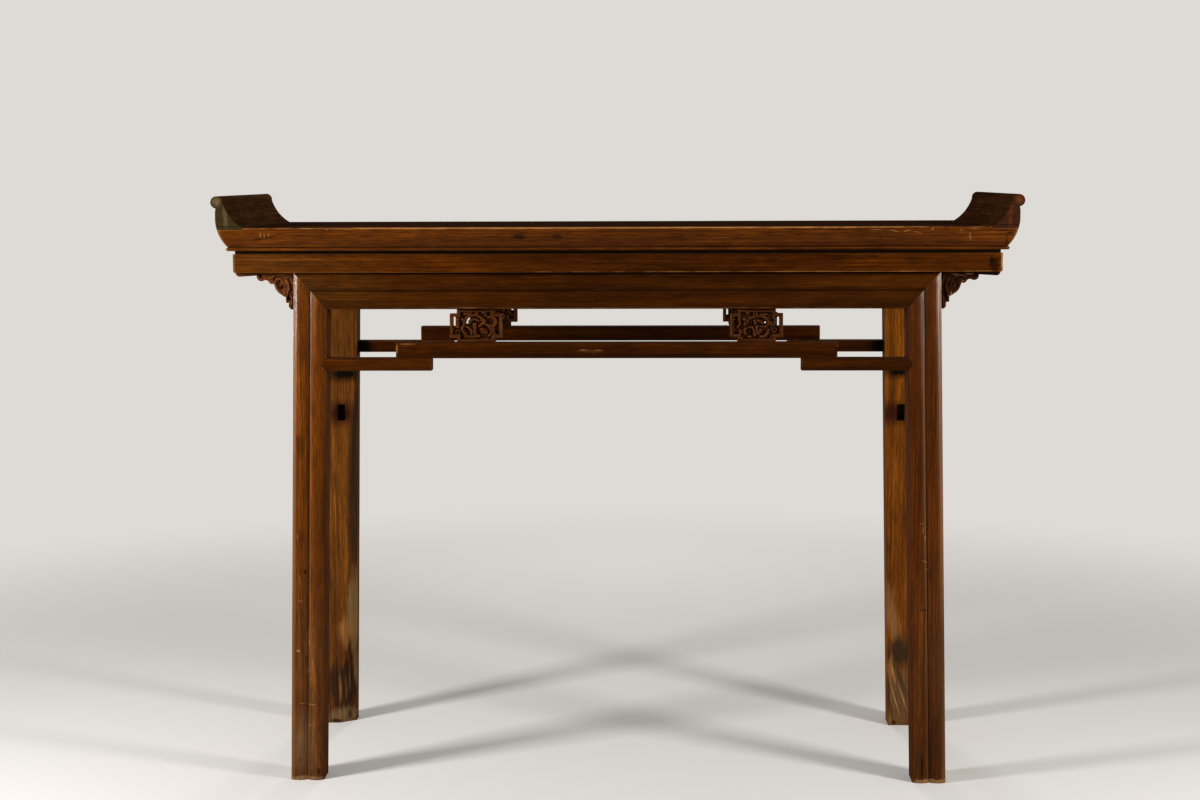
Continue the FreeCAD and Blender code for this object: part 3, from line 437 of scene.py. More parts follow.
rearLeftWood = elmMaterial("waxed elm, moulded, rear left leg",
                           dict(rearLegShades, tint="#dcdcdc", lightWood="#92541a", midWood="#64380e",
                                darkWood="#3a1e0a"), [
    # painted shade: a dark strip on the wane at the leg's inner side
    spot(-466, 150, 440, 21, 200, "#2e2012", 0.85, ragged=0.25, soft=0.25, turn=-1.3),
    spot(-464, 155, 400, 4, 150, "#6a5238", 0.6, ragged=1.0, turn=-1.3),
    spot(-477, 150, 205, 18, 88, "#745934", 0.85, ragged=1.0, soft=0.4, turn=-2),
    spot(-494, 155, 168, 15, 38, "#8a5c2c", 0.75, ragged=1.2),
    spot(-503, 155, 140, 9, 34, "#4a2410", 0.7, ragged=1.2),
    spot(-494, 150, 66, 42, 60, "#2c190d", 0.92, ragged=1.0, soft=0.4),
    spot(-487, 155, 128, 3, 36, "#1c0d07", 0.8), spot(-479, 155, 110, 4, 60, "#6e5636", 0.7, ragged=1.2),
    spot(-505, 155, 66, 4, 34, "#6e4a28", 0.7, ragged=1.2),
    spot(-495, 155, 60, 3, 30, "#5e4026", 0.6, ragged=1.2),
    spot(-489, 155, 78, 2, 30, "#7a5a34", 0.5, ragged=1.0),
    spot(-500, 155, 10, 40, 22, "#6a5234", 0.85, ragged=1.2),
    spot(-490, 155, 14, 4, 12, sootAndShade, 0.7, ragged=1.4), spot(-512, 155, 4, 14, 4, sootAndShade, 0.8, ragged=1.6),
    # painted shade of an empty mortise, then a painted shadow under the short bar
    spot(-494, 145, 564, 34, 29, "#2a0d05", 1.0, ragged=0.5, soft=0.65),
    spot(-486, 145, 634, 50, 19, sootAndShade, 1.0, ragged=0.5, soft=0.7)])
rearRightWood = elmMaterial("waxed elm, moulded, rear right leg",
                            dict(rearLegShades, lightWood="#9c5a12", midWood="#6c390a", darkWood="#3c1c06"), [
    spot(483, 150, 200, 14, 84, "#7a532c", 0.75, ragged=0.6, soft=0.6, turn=12),
    spot(494, 150, 46, 36, 84, "#5a4026", 0.85, ragged=1.2),
    spot(497, 150, 134, 33, 37, "#2c1f14", 0.93, ragged=0.8, soft=0.55),
    spot(484, 155, 118, 4, 26, "#6a4a2a", 0.6, ragged=1.2),
    spot(500, 155, 84, 5, 40, "#2e2114", 0.7, ragged=1.2, turn=16),
    spot(479, 155, 60, 4, 60, "#2e1a0c", 0.7, ragged=1.0),
    spot(487, 155, 96, 1.6, 26, "#a07c50", 0.7, turn=12),
    spot(481, 150, 100, 5, 24, "#8a6236", 0.5, ragged=1.2),
    spot(490, 155, 50, 1.2, 40, "#9c7c52", 0.7, turn=17),
    spot(497, 155, 40, 1.4, 36, "#4c3420", 0.7, turn=19),
    spot(504, 155, 52, 1.2, 36, "#9c7c52", 0.65, turn=18),
    spot(484, 155, 30, 3, 26, "#3a2312", 0.7, turn=8), spot(489, 155, 5, 5, 5, "#2c0d07", 0.9, ragged=1.4),
    # painted shade of an empty mortise, then a painted shadow under the short bar
    spot(481, 145, 565, 34, 28, "#341406", 1.0, ragged=0.5, soft=0.65),
    spot(490, 145, 638, 42, 17, sootAndShade, 1.0, ragged=0.5, soft=0.7)])
# an old patina: dark, with hardly a ring to be seen
flangeShades = {"grainAlong": "y", "heart": (500, 930), "lightWood": "#56381e", "midWood": "#3a2312",
                "darkWood": "#281408", "ringShow": 0.08, "shine": 0.0, "wax": 0.046}


def endGrain(side, low, scroll):
    # colours of the front end of a flange and of the round eye of its scroll
    return [{"at": (side * 620, -205, 925), "size": (60, 5, 60), "colour": low, "amount": 0.9, "ragged": 0.8,
             "soft": 0.3},
            {"at": (side * 631, -205, 941), "size": (9, 5, 9), "colour": scroll, "amount": 0.7, "soft": 0.6},
            {"at": (side * 617, -205, 920), "size": (5, 5, 26), "colour": scroll, "amount": 0.4,
             "ragged": 2.2},
            {"at": (side * 612, -205, 902), "size": (30, 5, 1.4), "colour": darkSpot, "amount": 0.7,
             "ragged": 1.2}]


leftFlangeWood = elmMaterial("waxed elm, green patina, left flange", flangeShades,
                             endGrain(-1, "#31270e", "#6a563a"))
rightFlangeWood = elmMaterial("waxed elm, carved, right flange", dict(flangeShades, tint="#dcd0c4"),
                              endGrain(1, "#341807", "#5e3012"))
# chip carving: the ground darkened with dirt and painted shade, and ridges rubbed pale
carvedShades = {
    "lightWood": "#6b3519", "midWood": "#4a210e", "darkWood": "#2e1408", "wornWoodAndHighlight": "#935a34",
    "grimeAndShade": "#2a1107",
    "ringShow": 0.05, "fibreShow": 0.3, "wear": 1.04, "dirtFrom": 0.97, "shine": 0.03,
    "sunk": (172.4, 1.4, 4.4),      # mm to a block's middle, then off that where the dirt and painted shade are full and where they end
    "sunkDirtAndShade": 0.6,
}
spandrelShades = dict(carvedShades, sunk=(174.6, 1.6, 4.0))
blockWood = elmMaterial("waxed elm, chip carved, blocks",
                        dict(carvedShades, lightWood="#6a3a18", midWood="#4a260f", wornWoodAndHighlight="#935f30"),
                        # a painted shadow along each block's top, under the rail
                        [spot(side * 224, -178, 768.5, 44, 3.0, sootAndShade, 0.85, ragged=0.5) for side in (-1, 1)])
# pale colour for painted highlights on the carved ridges
paleRidgeHighlight = "#a26a40"
leftSpandrelWood = elmMaterial("waxed elm, chip carved, left spandrels",
                               dict(spandrelShades, lightWood="#94562c", midWood="#643619",
                                    grimeAndShade="#1c0b05"), [
    # painted shade in holes and undercuts of the carving, and painted highlights on its ridges
    spot(-546, -178, 816, 3.6, 3.2, sootAndShade, 0.85), spot(-540, -178, 809.5, 2.8, 5.0, sootAndShade, 0.85, turn=35),
    spot(-535, -178, 803.5, 3.4, 3.6, sootAndShade, 0.9), spot(-569, -178, 821, 2.8, 3.4, sootAndShade, 0.85),
    spot(-525, -178, 787, 2.8, 5.5, sootAndShade, 0.9), spot(-522, -178, 811, 1.8, 13, sootAndShade, 0.65, turn=12),
    spot(-556, -178, 811, 1.4, 5, paleRidgeHighlight, 0.6, turn=40),
    spot(-543, -178, 797, 5, 1.6, paleRidgeHighlight, 0.6, turn=-30), spot(-529, -178, 779, 1.6, 7, paleRidgeHighlight, 0.6),
    spot(-531, -178, 795, 1.4, 5, paleRidgeHighlight, 0.5, turn=15)])
rightSpandrelWood = elmMaterial("waxed elm, chip carved, right spandrels",
                                dict(spandrelShades, tint="#a0a098", wornWoodAndHighlight="#84522c", grimeAndShade="#160904",
                                     wear=1.36), [
    # painted shade in holes and undercuts of the carving, and painted highlights on its ridges
    spot(527, -178, 808, 3.0, 6, sootAndShade, 0.85), spot(521.5, -178, 792, 2.6, 5.5, sootAndShade, 0.9),
    spot(541, -178, 817, 7, 2.4, sootAndShade, 0.8, turn=10), spot(569, -178, 825, 4.2, 2.6, sootAndShade, 0.85),
    spot(531, -178, 792, 1.5, 6, paleRidgeHighlight, 0.75), spot(523.5, -178, 775, 2.0, 5, paleRidgeHighlight, 0.75),
    spot(559, -178, 824, 8, 1.5, paleRidgeHighlight, 0.6), spot(542, -178, 822.5, 12, 1.3, paleRidgeHighlight, 0.5, turn=-8),
    spot(548, -178, 811, 1.4, 5, paleRidgeHighlight, 0.5, turn=-30)])
# as it left the saw: rough and dull
innerWood = elmMaterial("bare elm, sawn, battens", {"grainAlong": "y", "shine": 0.1, "roughness": 0.7})

dressing = [
    (frontTop, ["front_long_rail"]), (topRails, ["rear_long_rail"]),
    (topEnds, ["left_end_rail", "right_end_rail"]),
    (panelWood, ["top_panel"]), (leftFlangeWood, ["left_flange"]), (rightFlangeWood, ["right_flange"]),
    (frontApron, ["front_upper_apron"]), (apronWood, ["rear_upper_apron"]),
    (apronEndWood, ["left_end_apron", "right_end_apron"]),
    (railWood, ["front_reeded_rail", "rear_reeded_rail"]),
    (longBarWood, ["front_long_bar", "rear_long_bar"]),
    (leftBarWood, ["front_left_short_bar", "rear_left_short_bar"]),
    (rightBarWood, ["front_right_short_bar", "rear_right_short_bar"]),
    (frontLeftWood, ["front_left_leg"]), (frontRightWood, ["front_right_leg"]),
    (rearLeftWood, ["rear_left_leg"]), (rearRightWood, ["rear_right_leg"]),
    (innerWood, ["left_batten", "middle_batten", "right_batten", "lap_tenons", "block_tenons"]),
]
for material, nodeNames in dressing:
    for nodeName in nodeNames:
        nodes[nodeName].data.materials.clear()
        nodes[nodeName].data.materials.append(material)
print("materials made")


# A design is drawn in shares of a block's half width and half height from its middle, or of a
# spandrel's reach from the leg and its drop from the apron. The third number of a point is the
# radius of the ridge there in mm, so a ridge swells and thins like a cut leaf.
carving = {
    "voxel": 0.42,         # mm, fineness of the carved surface
    "faces": 26000, "soften": 0.5,
    "swell": 3.0,          # a ridge is this many times as high as it is wide
    "slimness": 1.22,      # ridges are cut to this share of their drawn width
    "ridgeSunk": 0.4,      # mm, how far the ridges stay under the face
    "borderWidth": 5.0, "borderSunk": 1.1,
    "doubleLines": (1.6, 4.9),   # mm from the edge to the two lines of a double border
    "doubleRadius": 1.3, "doubleReach": 0.66, "doubleSwell": 2.0,
    "notch": (11.5, 7.5),
    "webThickness": 3.0,
    "cutSwell": 8.0, "cutDepth": 20.0,   # mm, far enough to cut through the web
    "ringKnots": 8,
    "spandrelReach": 60.0, "spandrelDrop": 59.0, "spandrelSwell": 2.2,
    "tongueShown": 2.8,    # mm from the end of a spandrel's tongue to the side of the leg
    "plateShare": 0.5,     # thickness of a spandrel under its ridges
    "backing": 1.0,        # mm, half the thickness left behind the slits of a spandrel
}

leftBlock = {
    "ridges": [
        [(-0.70, 0.47, 2.6), (-0.70, 0.15, 2.9), (-0.70, -0.14, 2.4)],
        [(-0.73, 0.72, 3.4), (-0.62, 0.72, 3.4)],
        [(-0.53, 0.42, 2.0), (-0.46, 0.22, 2.2), (-0.46, 0.03, 2.0), (-0.54, -0.14, 2.2), (-0.49, -0.34, 2.0),
         (-0.37, -0.53, 2.4)],
        [(-0.41, 0.26, 1.8), (-0.36, 0.46, 2.1), (-0.20, 0.60, 2.3), (-0.02, 0.62, 2.3), (0.14, 0.53, 2.4),
         (0.24, 0.36, 2.0), (0.14, 0.30, 1.4)],
        [(0.02, 0.90, 1.5), (0.02, 0.76, 2.7), (0.02, 0.62, 3.2)],
        [(-0.27, 0.09, 1.6), (-0.22, 0.27, 2.0), (-0.09, 0.37, 2.1), (0.05, 0.34, 2.0), (0.12, 0.22, 1.6)],
        [(-0.05, 0.16, 3.0), (-0.05, -0.01, 2.6), (-0.04, -0.27, 2.4), (-0.03, -0.55, 2.8)],
        [(0.08, -0.06, 1.5), (0.22, 0.09, 2.4), (0.31, 0.29, 2.6), (0.27, 0.42, 1.6)],
        [(0.27, 0.13, 1.6), (0.43, 0.03, 1.9), (0.55, -0.17, 2.0), (0.57, -0.44, 2.0), (0.47, -0.63, 1.8)],
        [(0.16, -0.17, 2.8), (0.30, -0.34, 4.4), (0.43, -0.44, 3.0)],
        [(-0.39, -0.04, 1.5), (-0.27, -0.14, 1.9), (-0.16, -0.34, 2.1), (-0.18, -0.53, 1.8)],
        [(-0.43, -0.63, 2.4), (-0.24, -0.67, 2.6), (-0.02, -0.67, 2.8), (0.14, -0.60, 2.2)],
        [(0.63, 0.88, 2.4), (0.61, 0.70, 2.6), (0.61, 0.52, 2.2)],
        [(0.43, 0.49, 1.6), (0.53, 0.53, 1.9), (0.67, 0.46, 2.4), (0.75, 0.26, 2.6), (0.69, 0.03, 2.4),
         (0.55, -0.01, 1.8), (0.47, 0.09, 1.4)],
        [(0.67, -0.11, 2.2), (0.65, -0.34, 2.6), (0.73, -0.53, 2.2)],
        [(0.61, -0.63, 1.5), (0.60, -0.92, 1.5)],
        [(0.73, -0.63, 1.5), (0.73, -0.92, 1.5)],
        [(0.22, 0.76, 2.2), (0.39, 0.79, 2.2)],
        [(0.30, 0.60, 1.6), (0.43, 0.62, 1.6)],
        [(-0.47, 0.70, 2.0), (-0.16, 0.72, 2.0)],
        [(0.20, -0.80, 1.5), (0.47, -0.80, 1.5)],
    ],
    "rings": [(-0.70, -0.40, 3.5, 1.4)],
    "cuts": [
        [(-0.825, 0.52, 1.3), (-0.825, -0.20, 1.3)],
        [(0.825, 0.46, 1.3), (0.825, -0.26, 1.3)],
        [(-0.35, 0.11, 1.1), (-0.31, 0.37, 1.3), (-0.17, 0.49, 1.3), (-0.03, 0.49, 1.0)],
        [(-0.70, -0.40, 2.0), (-0.69, -0.40, 2.0)],
    ],
    "doubleBorder": False,
}

rightBlock = {
    "ridges": [
        [(-0.65, 0.56, 1.8), (-0.66, 0.32, 2.2), (-0.63, 0.09, 2.0), (-0.76, -0.13, 1.4)],
        [(-0.42, 0.77, 2.8), (-0.28, 0.77, 2.8)],
        [(-0.53, 0.42, 2.2), (-0.40, 0.22, 3.2), (-0.48, 0.00, 2.0)],
        [(-0.32, 0.14, 1.6), (-0.29, 0.36, 1.8), (-0.14, 0.50, 2.0), (-0.04, 0.56, 2.0)],
        [(-0.20, 0.20, 3.0), (-0.19, 0.20, 3.0)],
        [(-0.09, 0.92, 1.5), (-0.10, 0.55, 1.6)],
        [(0.00, 0.92, 1.5), (0.00, 0.52, 1.6)],
        [(0.12, 0.81, 1.5), (0.40, 0.82, 1.5)],
        [(0.12, 0.65, 1.5), (0.40, 0.65, 1.5)],
        [(0.04, 0.56, 1.6), (0.22, 0.54, 2.0), (0.40, 0.36, 2.1), (0.45, 0.10, 2.0), (0.38, -0.04, 1.5)],
        [(0.00, 0.29, 1.8), (0.13, 0.25, 2.6), (0.24, 0.10, 1.8)],
        [(-0.10, 0.34, 2.0), (-0.07, 0.20, 2.0), (-0.03, 0.08, 2.2)],
        [(0.52, 0.24, 2.0), (0.55, 0.07, 2.4), (0.55, -0.08, 1.8)],
        [(0.64, 0.55, 1.8), (0.68, 0.36, 2.3), (0.68, 0.13, 2.2), (0.63, -0.05, 1.8)],
        [(0.63, 0.66, 1.6), (0.73, 0.72, 1.8), (0.81, 0.66, 1.6)],
        [(0.02, 0.02, 1.8), (0.00, -0.27, 2.4), (0.06, -0.53, 2.2)],
        [(0.10, -0.07, 1.5), (0.38, -0.09, 1.6)],
        [(0.14, -0.20, 2.2), (0.12, -0.44, 2.0)],
        [(0.10, -0.67, 2.0), (0.28, -0.65, 2.2), (0.42, -0.40, 2.4), (0.44, -0.24, 1.8)],
        [(-0.40, -0.14, 1.8), (-0.46, -0.34, 2.6), (-0.42, -0.53, 1.8)],
        [(-0.32, -0.14, 1.6), (-0.16, -0.14, 2.0), (-0.10, -0.40, 2.0), (-0.06, -0.63, 2.0)],
        [(-0.26, -0.36, 2.2), (-0.25, -0.36, 2.2)],
        [(-0.63, -0.27, 2.8), (-0.59, -0.50, 2.6)],
        [(0.53, -0.80, 1.4), (0.59, -0.60, 1.6), (0.67, -0.67, 1.6), (0.67, -0.86, 1.4)],
        [(-0.66, -0.73, 2.2), (-0.53, -0.80, 2.2)],
        [(-0.34, -0.67, 2.0), (-0.20, -0.69, 2.0)],
        [(0.10, -0.85, 1.6), (0.36, -0.85, 1.6)],
    ],
    "rings": [(0.52, 0.49, 3.2, 1.4), (0.68, -0.28, 3.5, 1.4)],
    "cuts": [
        [(-0.80, 0.52, 1.6), (-0.79, 0.05, 1.6)],
        [(0.82, 0.50, 1.5), (0.82, -0.10, 1.5)],
        [(-0.02, 0.44, 1.0), (0.12, 0.44, 1.2), (0.28, 0.32, 1.3), (0.34, 0.12, 1.0)],
        [(0.68, -0.28, 2.0), (0.69, -0.28, 2.0)],
    ],
    "doubleBorder": True,
}

spandrelRidges = [
    [(0.29, 0.27, 1.6), (0.35, 0.18, 2.2), (0.44, 0.17, 2.5), (0.51, 0.25, 2.5), (0.48, 0.37, 2.7),
     (0.43, 0.48, 2.6), (0.33, 0.57, 2.3), (0.24, 0.64, 1.8)],
    [(0.44, 0.29, 1.5), (0.37, 0.33, 2.0), (0.35, 0.42, 2.0)],
    [(0.22, 0.19, 2.4), (0.15, 0.29, 3.0), (0.13, 0.42, 2.8), (0.17, 0.54, 2.2), (0.20, 0.68, 2.1),
     (0.20, 0.82, 1.6)],
    [(0.08, 0.06, 1.6), (0.05, 0.20, 1.9), (0.03, 0.38, 1.8)],
    [(0.05, 0.64, 2.0), (0.06, 0.74, 2.2), (0.07, 0.87, 2.0)],
    [(0.66, 0.17, 1.8), (0.55, 0.09, 2.3), (0.40, 0.045, 1.8), (0.22, 0.05, 1.8), (0.12, 0.12, 1.5)],
    [(0.65, 0.23, 1.8), (0.60, 0.27, 2.0), (0.55, 0.24, 1.6)],
    [(0.76, 0.17, 1.6), (0.84, 0.19, 1.7), (0.91, 0.17, 1.8), (0.95, 0.08, 1.7)],
    [(0.87, 0.06, 1.5), (0.79, 0.08, 1.7), (0.71, 0.12, 1.5)],
    [(0.09, 0.97, 2.0), (0.10, 0.97, 2.0)],
    [(1.05, 0.03, 1.3), (1.30, 0.02, 1.0)],
]
spandrelSlits = [
    [(0.56, 0.21, 2.0), (0.42, 0.05, 2.0), (0.18, 0.09, 2.0)],
    [(0.29, 0.38, 2.0), (0.39, 0.30, 2.0), (0.35, 0.18, 2.0)],
    [(0.05, 0.44, 2.0), (0.165, 0.60, 2.0), (0.08, 0.76, 2.0)],
    [(0.94, 0.00, 2.0), (0.84, 0.13, 2.0)],
]


def boxOf(piece):
    corners = [piece.matrix_world @ Vector(corner) for corner in piece.bound_box]
    low = Vector([min(corner[i] for corner in corners) for i in range(3)])
    high = Vector([max(corner[i] for corner in corners) for i in range(3)])
    return low, high


def ridgeMesh(paths, swell, limit):
    # tubes with round ends along the paths (metres), made deeper than wide and planed off at a limit
    curve = bpy.data.curves.new("ridges", "CURVE")
    curve.dimensions = "3D"
    curve.bevel_depth = 1.0
    curve.bevel_resolution = 3
    curve.resolution_u = 8
    curve.use_fill_caps = True
    for closed, points in paths:
        spline = curve.splines.new("BEZIER")
        spline.bezier_points.add(len(points) - 1)
        spline.use_cyclic_u = closed
        for knot, (x, z, radius) in zip(spline.bezier_points, points):
            knot.co = (x, 0.0, z)
            knot.radius = radius
            knot.handle_left_type = knot.handle_right_type = "AUTO"
    holder = bpy.data.objects.new("ridges", curve)
    bpy.context.scene.collection.objects.link(holder)
    bpy.context.view_layer.update()
    mesh = bpy.data.meshes.new_from_object(holder.evaluated_get(bpy.context.evaluated_depsgraph_get()))
    bpy.data.objects.remove(holder)
    bpy.data.curves.remove(curve)
    for vertex in mesh.vertices:
        vertex.co.y = max(-limit, min(limit, vertex.co.y * swell))
    return mesh


def prismMesh(outline, holes, halfDepth):
    # a flat plate with an outline of (x, z) points; a hole has as many points as the outline round it
    mesh = bpy.data.meshes.new("plate")
    made = bmesh.new()
    count = len(outline)
    if holes:
        loops = [[made.verts.new((x, y, z)) for x, z in loop]
                 for y in (-halfDepth, halfDepth) for loop in (outline, holes)]
        for i in range(count):
            j = (i + 1) % count
            for a, b in ((0, 1), (1, 3), (3, 2), (2, 0)):
                made.faces.new((loops[a][i], loops[a][j], loops[b][j], loops[b][i]))
    else:
        front, back = [[made.verts.new((x, y, z)) for x, z in outline] for y in (-halfDepth, halfDepth)]
        made.faces.new(front)
        made.faces.new(back[::-1])
        for i in range(count):
            j = (i + 1) % count
            made.faces.new((front[j], front[i], back[i], back[j]))
    bmesh.ops.recalc_face_normals(made, faces=made.faces)
    made.to_mesh(mesh)
    made.free()
    return mesh


def tempObject(mesh):
    piece = bpy.data.objects.new("carving", mesh)
    bpy.context.scene.collection.objects.link(piece)
    return piece


def evaluated(piece):
    bpy.context.view_layer.update()
    mesh = bpy.data.meshes.new_from_object(piece.evaluated_get(bpy.context.evaluated_depsgraph_get()))
    bpy.data.objects.remove(piece)
    return mesh


def cutThrough(mesh, cutter):
    piece, tool = tempObject(mesh), tempObject(cutter)
    boolean = piece.modifiers.new("cut", "BOOLEAN")
    boolean.operation, boolean.solver, boolean.object = "DIFFERENCE", "EXACT", tool
    result = evaluated(piece)
    bpy.data.objects.remove(tool)
    return result


def carved(meshes):
    # melts solids into one carved surface, then thins its faces out and drops the few strays that leaves
    made = bmesh.new()
    for mesh in meshes:
        made.from_mesh(mesh)
    whole = bpy.data.meshes.new("carving")
    made.to_mesh(whole)
    made.free()
    piece = tempObject(whole)
    remesh = piece.modifiers.new("melt", "REMESH")
    remesh.mode, remesh.voxel_size = "VOXEL", carving["voxel"] / 1000
    soften = piece.modifiers.new("soften", "SMOOTH")
    soften.factor, soften.iterations = carving["soften"], 1
    mesh = evaluated(piece)
    piece = tempObject(mesh)
    thin = piece.modifiers.new("thin", "DECIMATE")
    thin.ratio = min(1.0, carving["faces"] / (2 * len(mesh.polygons)))
    mesh = evaluated(piece)
    mesh.validate()
    made = bmesh.new()
    made.from_mesh(mesh)
    alone = [face for face in made.faces if all(len(edge.link_faces) == 1 for edge in face.edges)]
    bmesh.ops.delete(made, geom=alone, context="FACES")
    bmesh.ops.recalc_face_normals(made, faces=made.faces)
    made.to_mesh(mesh)
    made.free()
    mesh.polygons.foreach_set("use_smooth", [True] * len(mesh.polygons))
    return mesh


def notchedOutline(wide, high):
    # rectangle with a step cut out of each corner, going round it once
    stepX, stepZ = wide - carving["notch"][0] / 1000, high - carving["notch"][1] / 1000
    quarter = [(wide, stepZ), (stepX, stepZ), (stepX, high)]
    half = quarter + [(-x, z) for x, z in reversed(quarter)]
    return half + [(-x, -z) for x, z in half]


def blockMesh(design, size):
    wide, deep, high = size.x / 2, size.y / 2, size.z / 2
    bar = carving["borderWidth"] / 1000

    def drawn(points):
        return [(x * wide, z * high, radius / 1000 * carving["slimness"]) for x, z, radius in points]

    paths = [(False, drawn(points)) for points in design["ridges"]]
    for x, z, reach, radius in design["rings"]:
        turn = [(x * wide + math.cos(a) * reach / 1000, z * high + math.sin(a) * reach / 1000, radius / 1000)
                for a in [math.tau * i / carving["ringKnots"] for i in range(carving["ringKnots"])]]
        paths.append((True, turn))
    if design["doubleBorder"]:
        for side in (-1, 1):
            for inset in carving["doubleLines"]:
                x, radius = side * (wide - inset / 1000), carving["doubleRadius"] / 1000
                paths.append((False, [(x, end * carving["doubleReach"] * high, radius) for end in (1, -1)]))
    ridges = ridgeMesh(paths, carving["swell"], deep - carving["ridgeSunk"] / 1000)
    if design["doubleBorder"]:
        for vertex in ridges.vertices:
            if abs(vertex.co.x) > wide - bar:
                vertex.co.y *= carving["doubleSwell"]
    border = prismMesh(notchedOutline(wide, high), notchedOutline(wide - bar, high - bar),
                       deep - carving["borderSunk"] / 1000)
    inner = bar / 2
    web = prismMesh(notchedOutline(wide - inner, high - inner), None, carving["webThickness"] / 2000)
    cutter = ridgeMesh([(False, drawn(points)) for points in design["cuts"]], carving["cutSwell"],
                       carving["cutDepth"] / 1000)
    return carved([border, cutThrough(web, cutter), ridges])


def spandrelMesh(node):
    # the joiner's plate planed thinner, with ridges cut on both faces; node is the left one
    low, high = boxOf(node)
    middle, deep = (low.y + high.y) / 2, (high.y - low.y) / 2
    plate = node.data.copy()
    plate.transform(Matrix.Translation((0, -middle, 0)) @ node.matrix_world)
    for vertex in plate.vertices:
        vertex.co.y *= carving["plateShare"]
    legSide = high.x - carving["tongueShown"] / 1000

    def drawn(designs):
        return [(False, [(legSide - x * carving["spandrelReach"] / 1000,
                          high.z - z * carving["spandrelDrop"] / 1000, radius / 1000)
                         for x, z, radius in points]) for points in designs]

    ridges = ridgeMesh(drawn(spandrelRidges), carving["spandrelSwell"], deep - carving["ridgeSunk"] / 1000)
    backs = ridgeMesh(drawn(spandrelSlits), 1.0, carving["backing"] / 1000)
    mesh = carved([plate, ridges, backs])
    mesh.transform(Matrix.Translation((0, middle, 0)))
    return mesh


def mirrored(mesh):
    other = mesh.copy()
    other.transform(Matrix.Scale(-1, 4, (1, 0, 0)))
    other.flip_normals()
    return other


def turnedRound(mesh):
    other = mesh.copy()
    other.transform(Matrix.Rotation(math.pi, 4, "Z"))
    return other


def addCarving(nodeName, mesh, title, material):
    piece = bpy.data.objects.new(title, mesh)
    bpy.context.scene.collection.objects.link(piece)
    mesh.materials.clear()
    mesh.materials.append(material)
    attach(piece, "root")
    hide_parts(nodeName)


def placedBlock(design, node):
    low, high = boxOf(node)
    mesh = blockMesh(design, high - low)
    mesh.transform(Matrix.Translation((low + high) / 2))
    return mesh


leftMesh = placedBlock(leftBlock, nodes["front_left_ornament"])
rightMesh = placedBlock(rightBlock, nodes["front_right_ornament"])
for corner, mesh in (("front_left", leftMesh), ("front_right", rightMesh),
                     ("rear_right", turnedRound(leftMesh)), ("rear_left", turnedRound(rightMesh))):
    addCarving(corner + "_ornament", mesh, "carved_block_" + corner, blockWood)
print("blocks carved")

leftMesh = spandrelMesh(nodes["front_left_spandrel"])
rightMesh = mirrored(leftMesh)
for corner, mesh in (("front_left", leftMesh), ("front_right", rightMesh),
                     ("rear_right", turnedRound(leftMesh)), ("rear_left", turnedRound(rightMesh))):
    addCarving(corner + "_spandrel", mesh, "carved_spandrel_" + corner,
               leftSpandrelWood if corner.endswith("left") else rightSpandrelWood)
print("spandrels carved")


# a plain pale studio: name, degrees round from the front and watts of each lamp; the back one only helps
# views from behind
studio = {
    "floorColour": "#d9d6d1", "backColour": "#dedbd6",
    "floorRadius": 14.0, "floorSides": 96,
    "fadeStart": 0.8, "fadeEnd": 2.6,   # metres from the table where the floor turns into the backdrop
    "ambient": 0.30, "ambientColour": (1.0, 0.98, 0.96, 1.0),
    "lampHeight": 1.2, "lampAway": 2.1, "lampSize": (0.35, 0.9), "lampAim": (0, 0, 0.6),
    "lamps": [("lampLeft", -60, 45), ("lampRight", 58, 33), ("lampBack", 180, 12)],
}


def seenDirectly(add):
    # 1 where the camera, a reflection or glass sees the surface itself
    path = add("LightPath").node.outputs
    either = add("Math", [path["Is Camera Ray"], path["Is Glossy Ray"]], operation="MAXIMUM")
    return add("Math", [either, path["Is Transmission Ray"]], operation="MAXIMUM")


world = bpy.data.worlds.new("studio")
bpy.context.scene.world = world
world.use_nodes = True
world.node_tree.nodes.clear()
add = partial(addNode, world.node_tree)
soft = add("Background", {"Color": studio["ambientColour"], "Strength": studio["ambient"]})
shown = add("Background", {"Color": toLinear(studio["backColour"]), "Strength": 1.0})
add("OutputWorld", {"Surface": add("MixShader", [seenDirectly(add), soft, shown])})

floorMesh = bpy.data.meshes.new("floor")
turns = [math.tau * i / studio["floorSides"] for i in range(studio["floorSides"])]
ring = [(math.cos(a) * studio["floorRadius"], math.sin(a) * studio["floorRadius"], 0.0) for a in turns]
floorMesh.from_pydata(ring, [], [list(range(len(ring)))])
floor = bpy.data.objects.new("floor", floorMesh)
bpy.context.scene.collection.objects.link(floor)
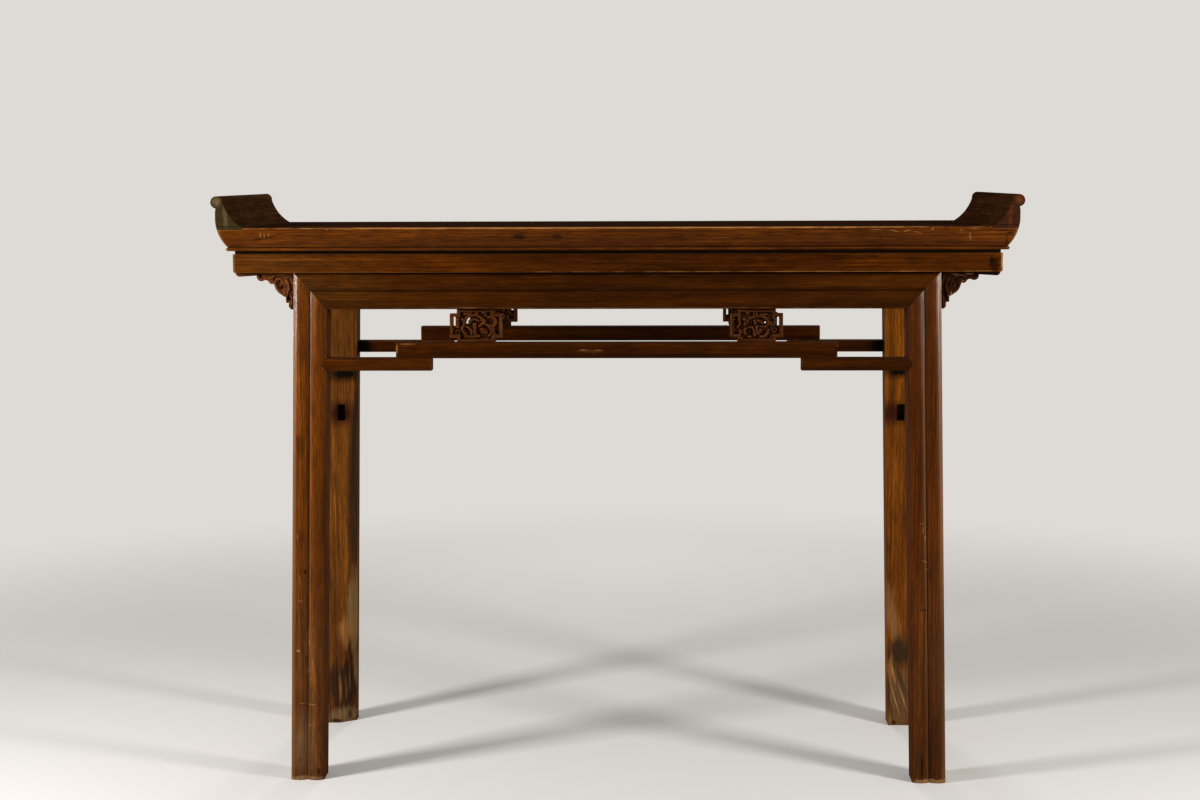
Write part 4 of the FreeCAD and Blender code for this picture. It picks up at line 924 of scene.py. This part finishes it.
# matt paper, which glows into the backdrop away from the table and keeps the shadow near it
material, add = blankMaterial("matt paper floor")
away = add("VectorMath", [add("TexCoord", out="Object")], "Value", operation="LENGTH")
fade = add("MapRange", [away, studio["fadeStart"], studio["fadeEnd"]], interpolation_type="SMOOTHSTEP")
paper = add("BsdfDiffuse", {"Color": toLinear(studio["floorColour"])})
glow = add("Emission", {"Color": toLinear(studio["backColour"]), "Strength": seenDirectly(add)})
add("OutputMaterial", {"Surface": add("MixShader", [fade, paper, glow])})
floorMesh.materials.append(material)

for lampName, turn, watts in studio["lamps"]:
    light = bpy.data.lights.new(lampName, "AREA")
    light.shape = "RECTANGLE"
    light.size, light.size_y = studio["lampSize"]
    light.energy = watts
    lamp = bpy.data.objects.new(lampName, light)
    bpy.context.scene.collection.objects.link(lamp)
    lamp.visible_camera = False
    angle = math.radians(turn)
    lamp.location = (math.sin(angle) * studio["lampAway"], -math.cos(angle) * studio["lampAway"],
                     studio["lampHeight"])
    aim = Vector(studio["lampAim"]) - lamp.location
    lamp.rotation_mode = "QUATERNION"
    lamp.rotation_quaternion = aim.to_track_quat("-Z", "Y")

# the photograph's camera: metres, degrees and mm
shot = {"place": (0.0651, -3.3594, 0.9823), "yaw": -1.64, "pitch": 6.435, "roll": -0.19, "lens": 60.0}

cameraData = bpy.data.cameras.new("camera")
cameraData.lens = shot["lens"]
cameraData.sensor_width = 36.0
cameraData.clip_start = 0.05
cameraData.clip_end = 60.0
camera = bpy.data.objects.new("camera", cameraData)
bpy.context.scene.collection.objects.link(camera)
yaw, pitch, roll = [math.radians(shot[key]) for key in ("yaw", "pitch", "roll")]
forward = Vector((math.sin(yaw) * math.cos(pitch), math.cos(yaw) * math.cos(pitch), -math.sin(pitch)))
sideways = Vector((math.cos(yaw), -math.sin(yaw), 0.0))
upward = sideways.cross(forward)
sideways, upward = (sideways * math.cos(roll) + upward * math.sin(roll),
                    upward * math.cos(roll) - sideways * math.sin(roll))
turned = Matrix((sideways, upward, -forward)).transposed().to_4x4()
camera.matrix_world = Matrix.Translation(shot["place"]) @ turned
bpy.context.scene.camera = camera
bpy.context.scene.view_settings.view_transform = "Standard"
print("studio and camera set")
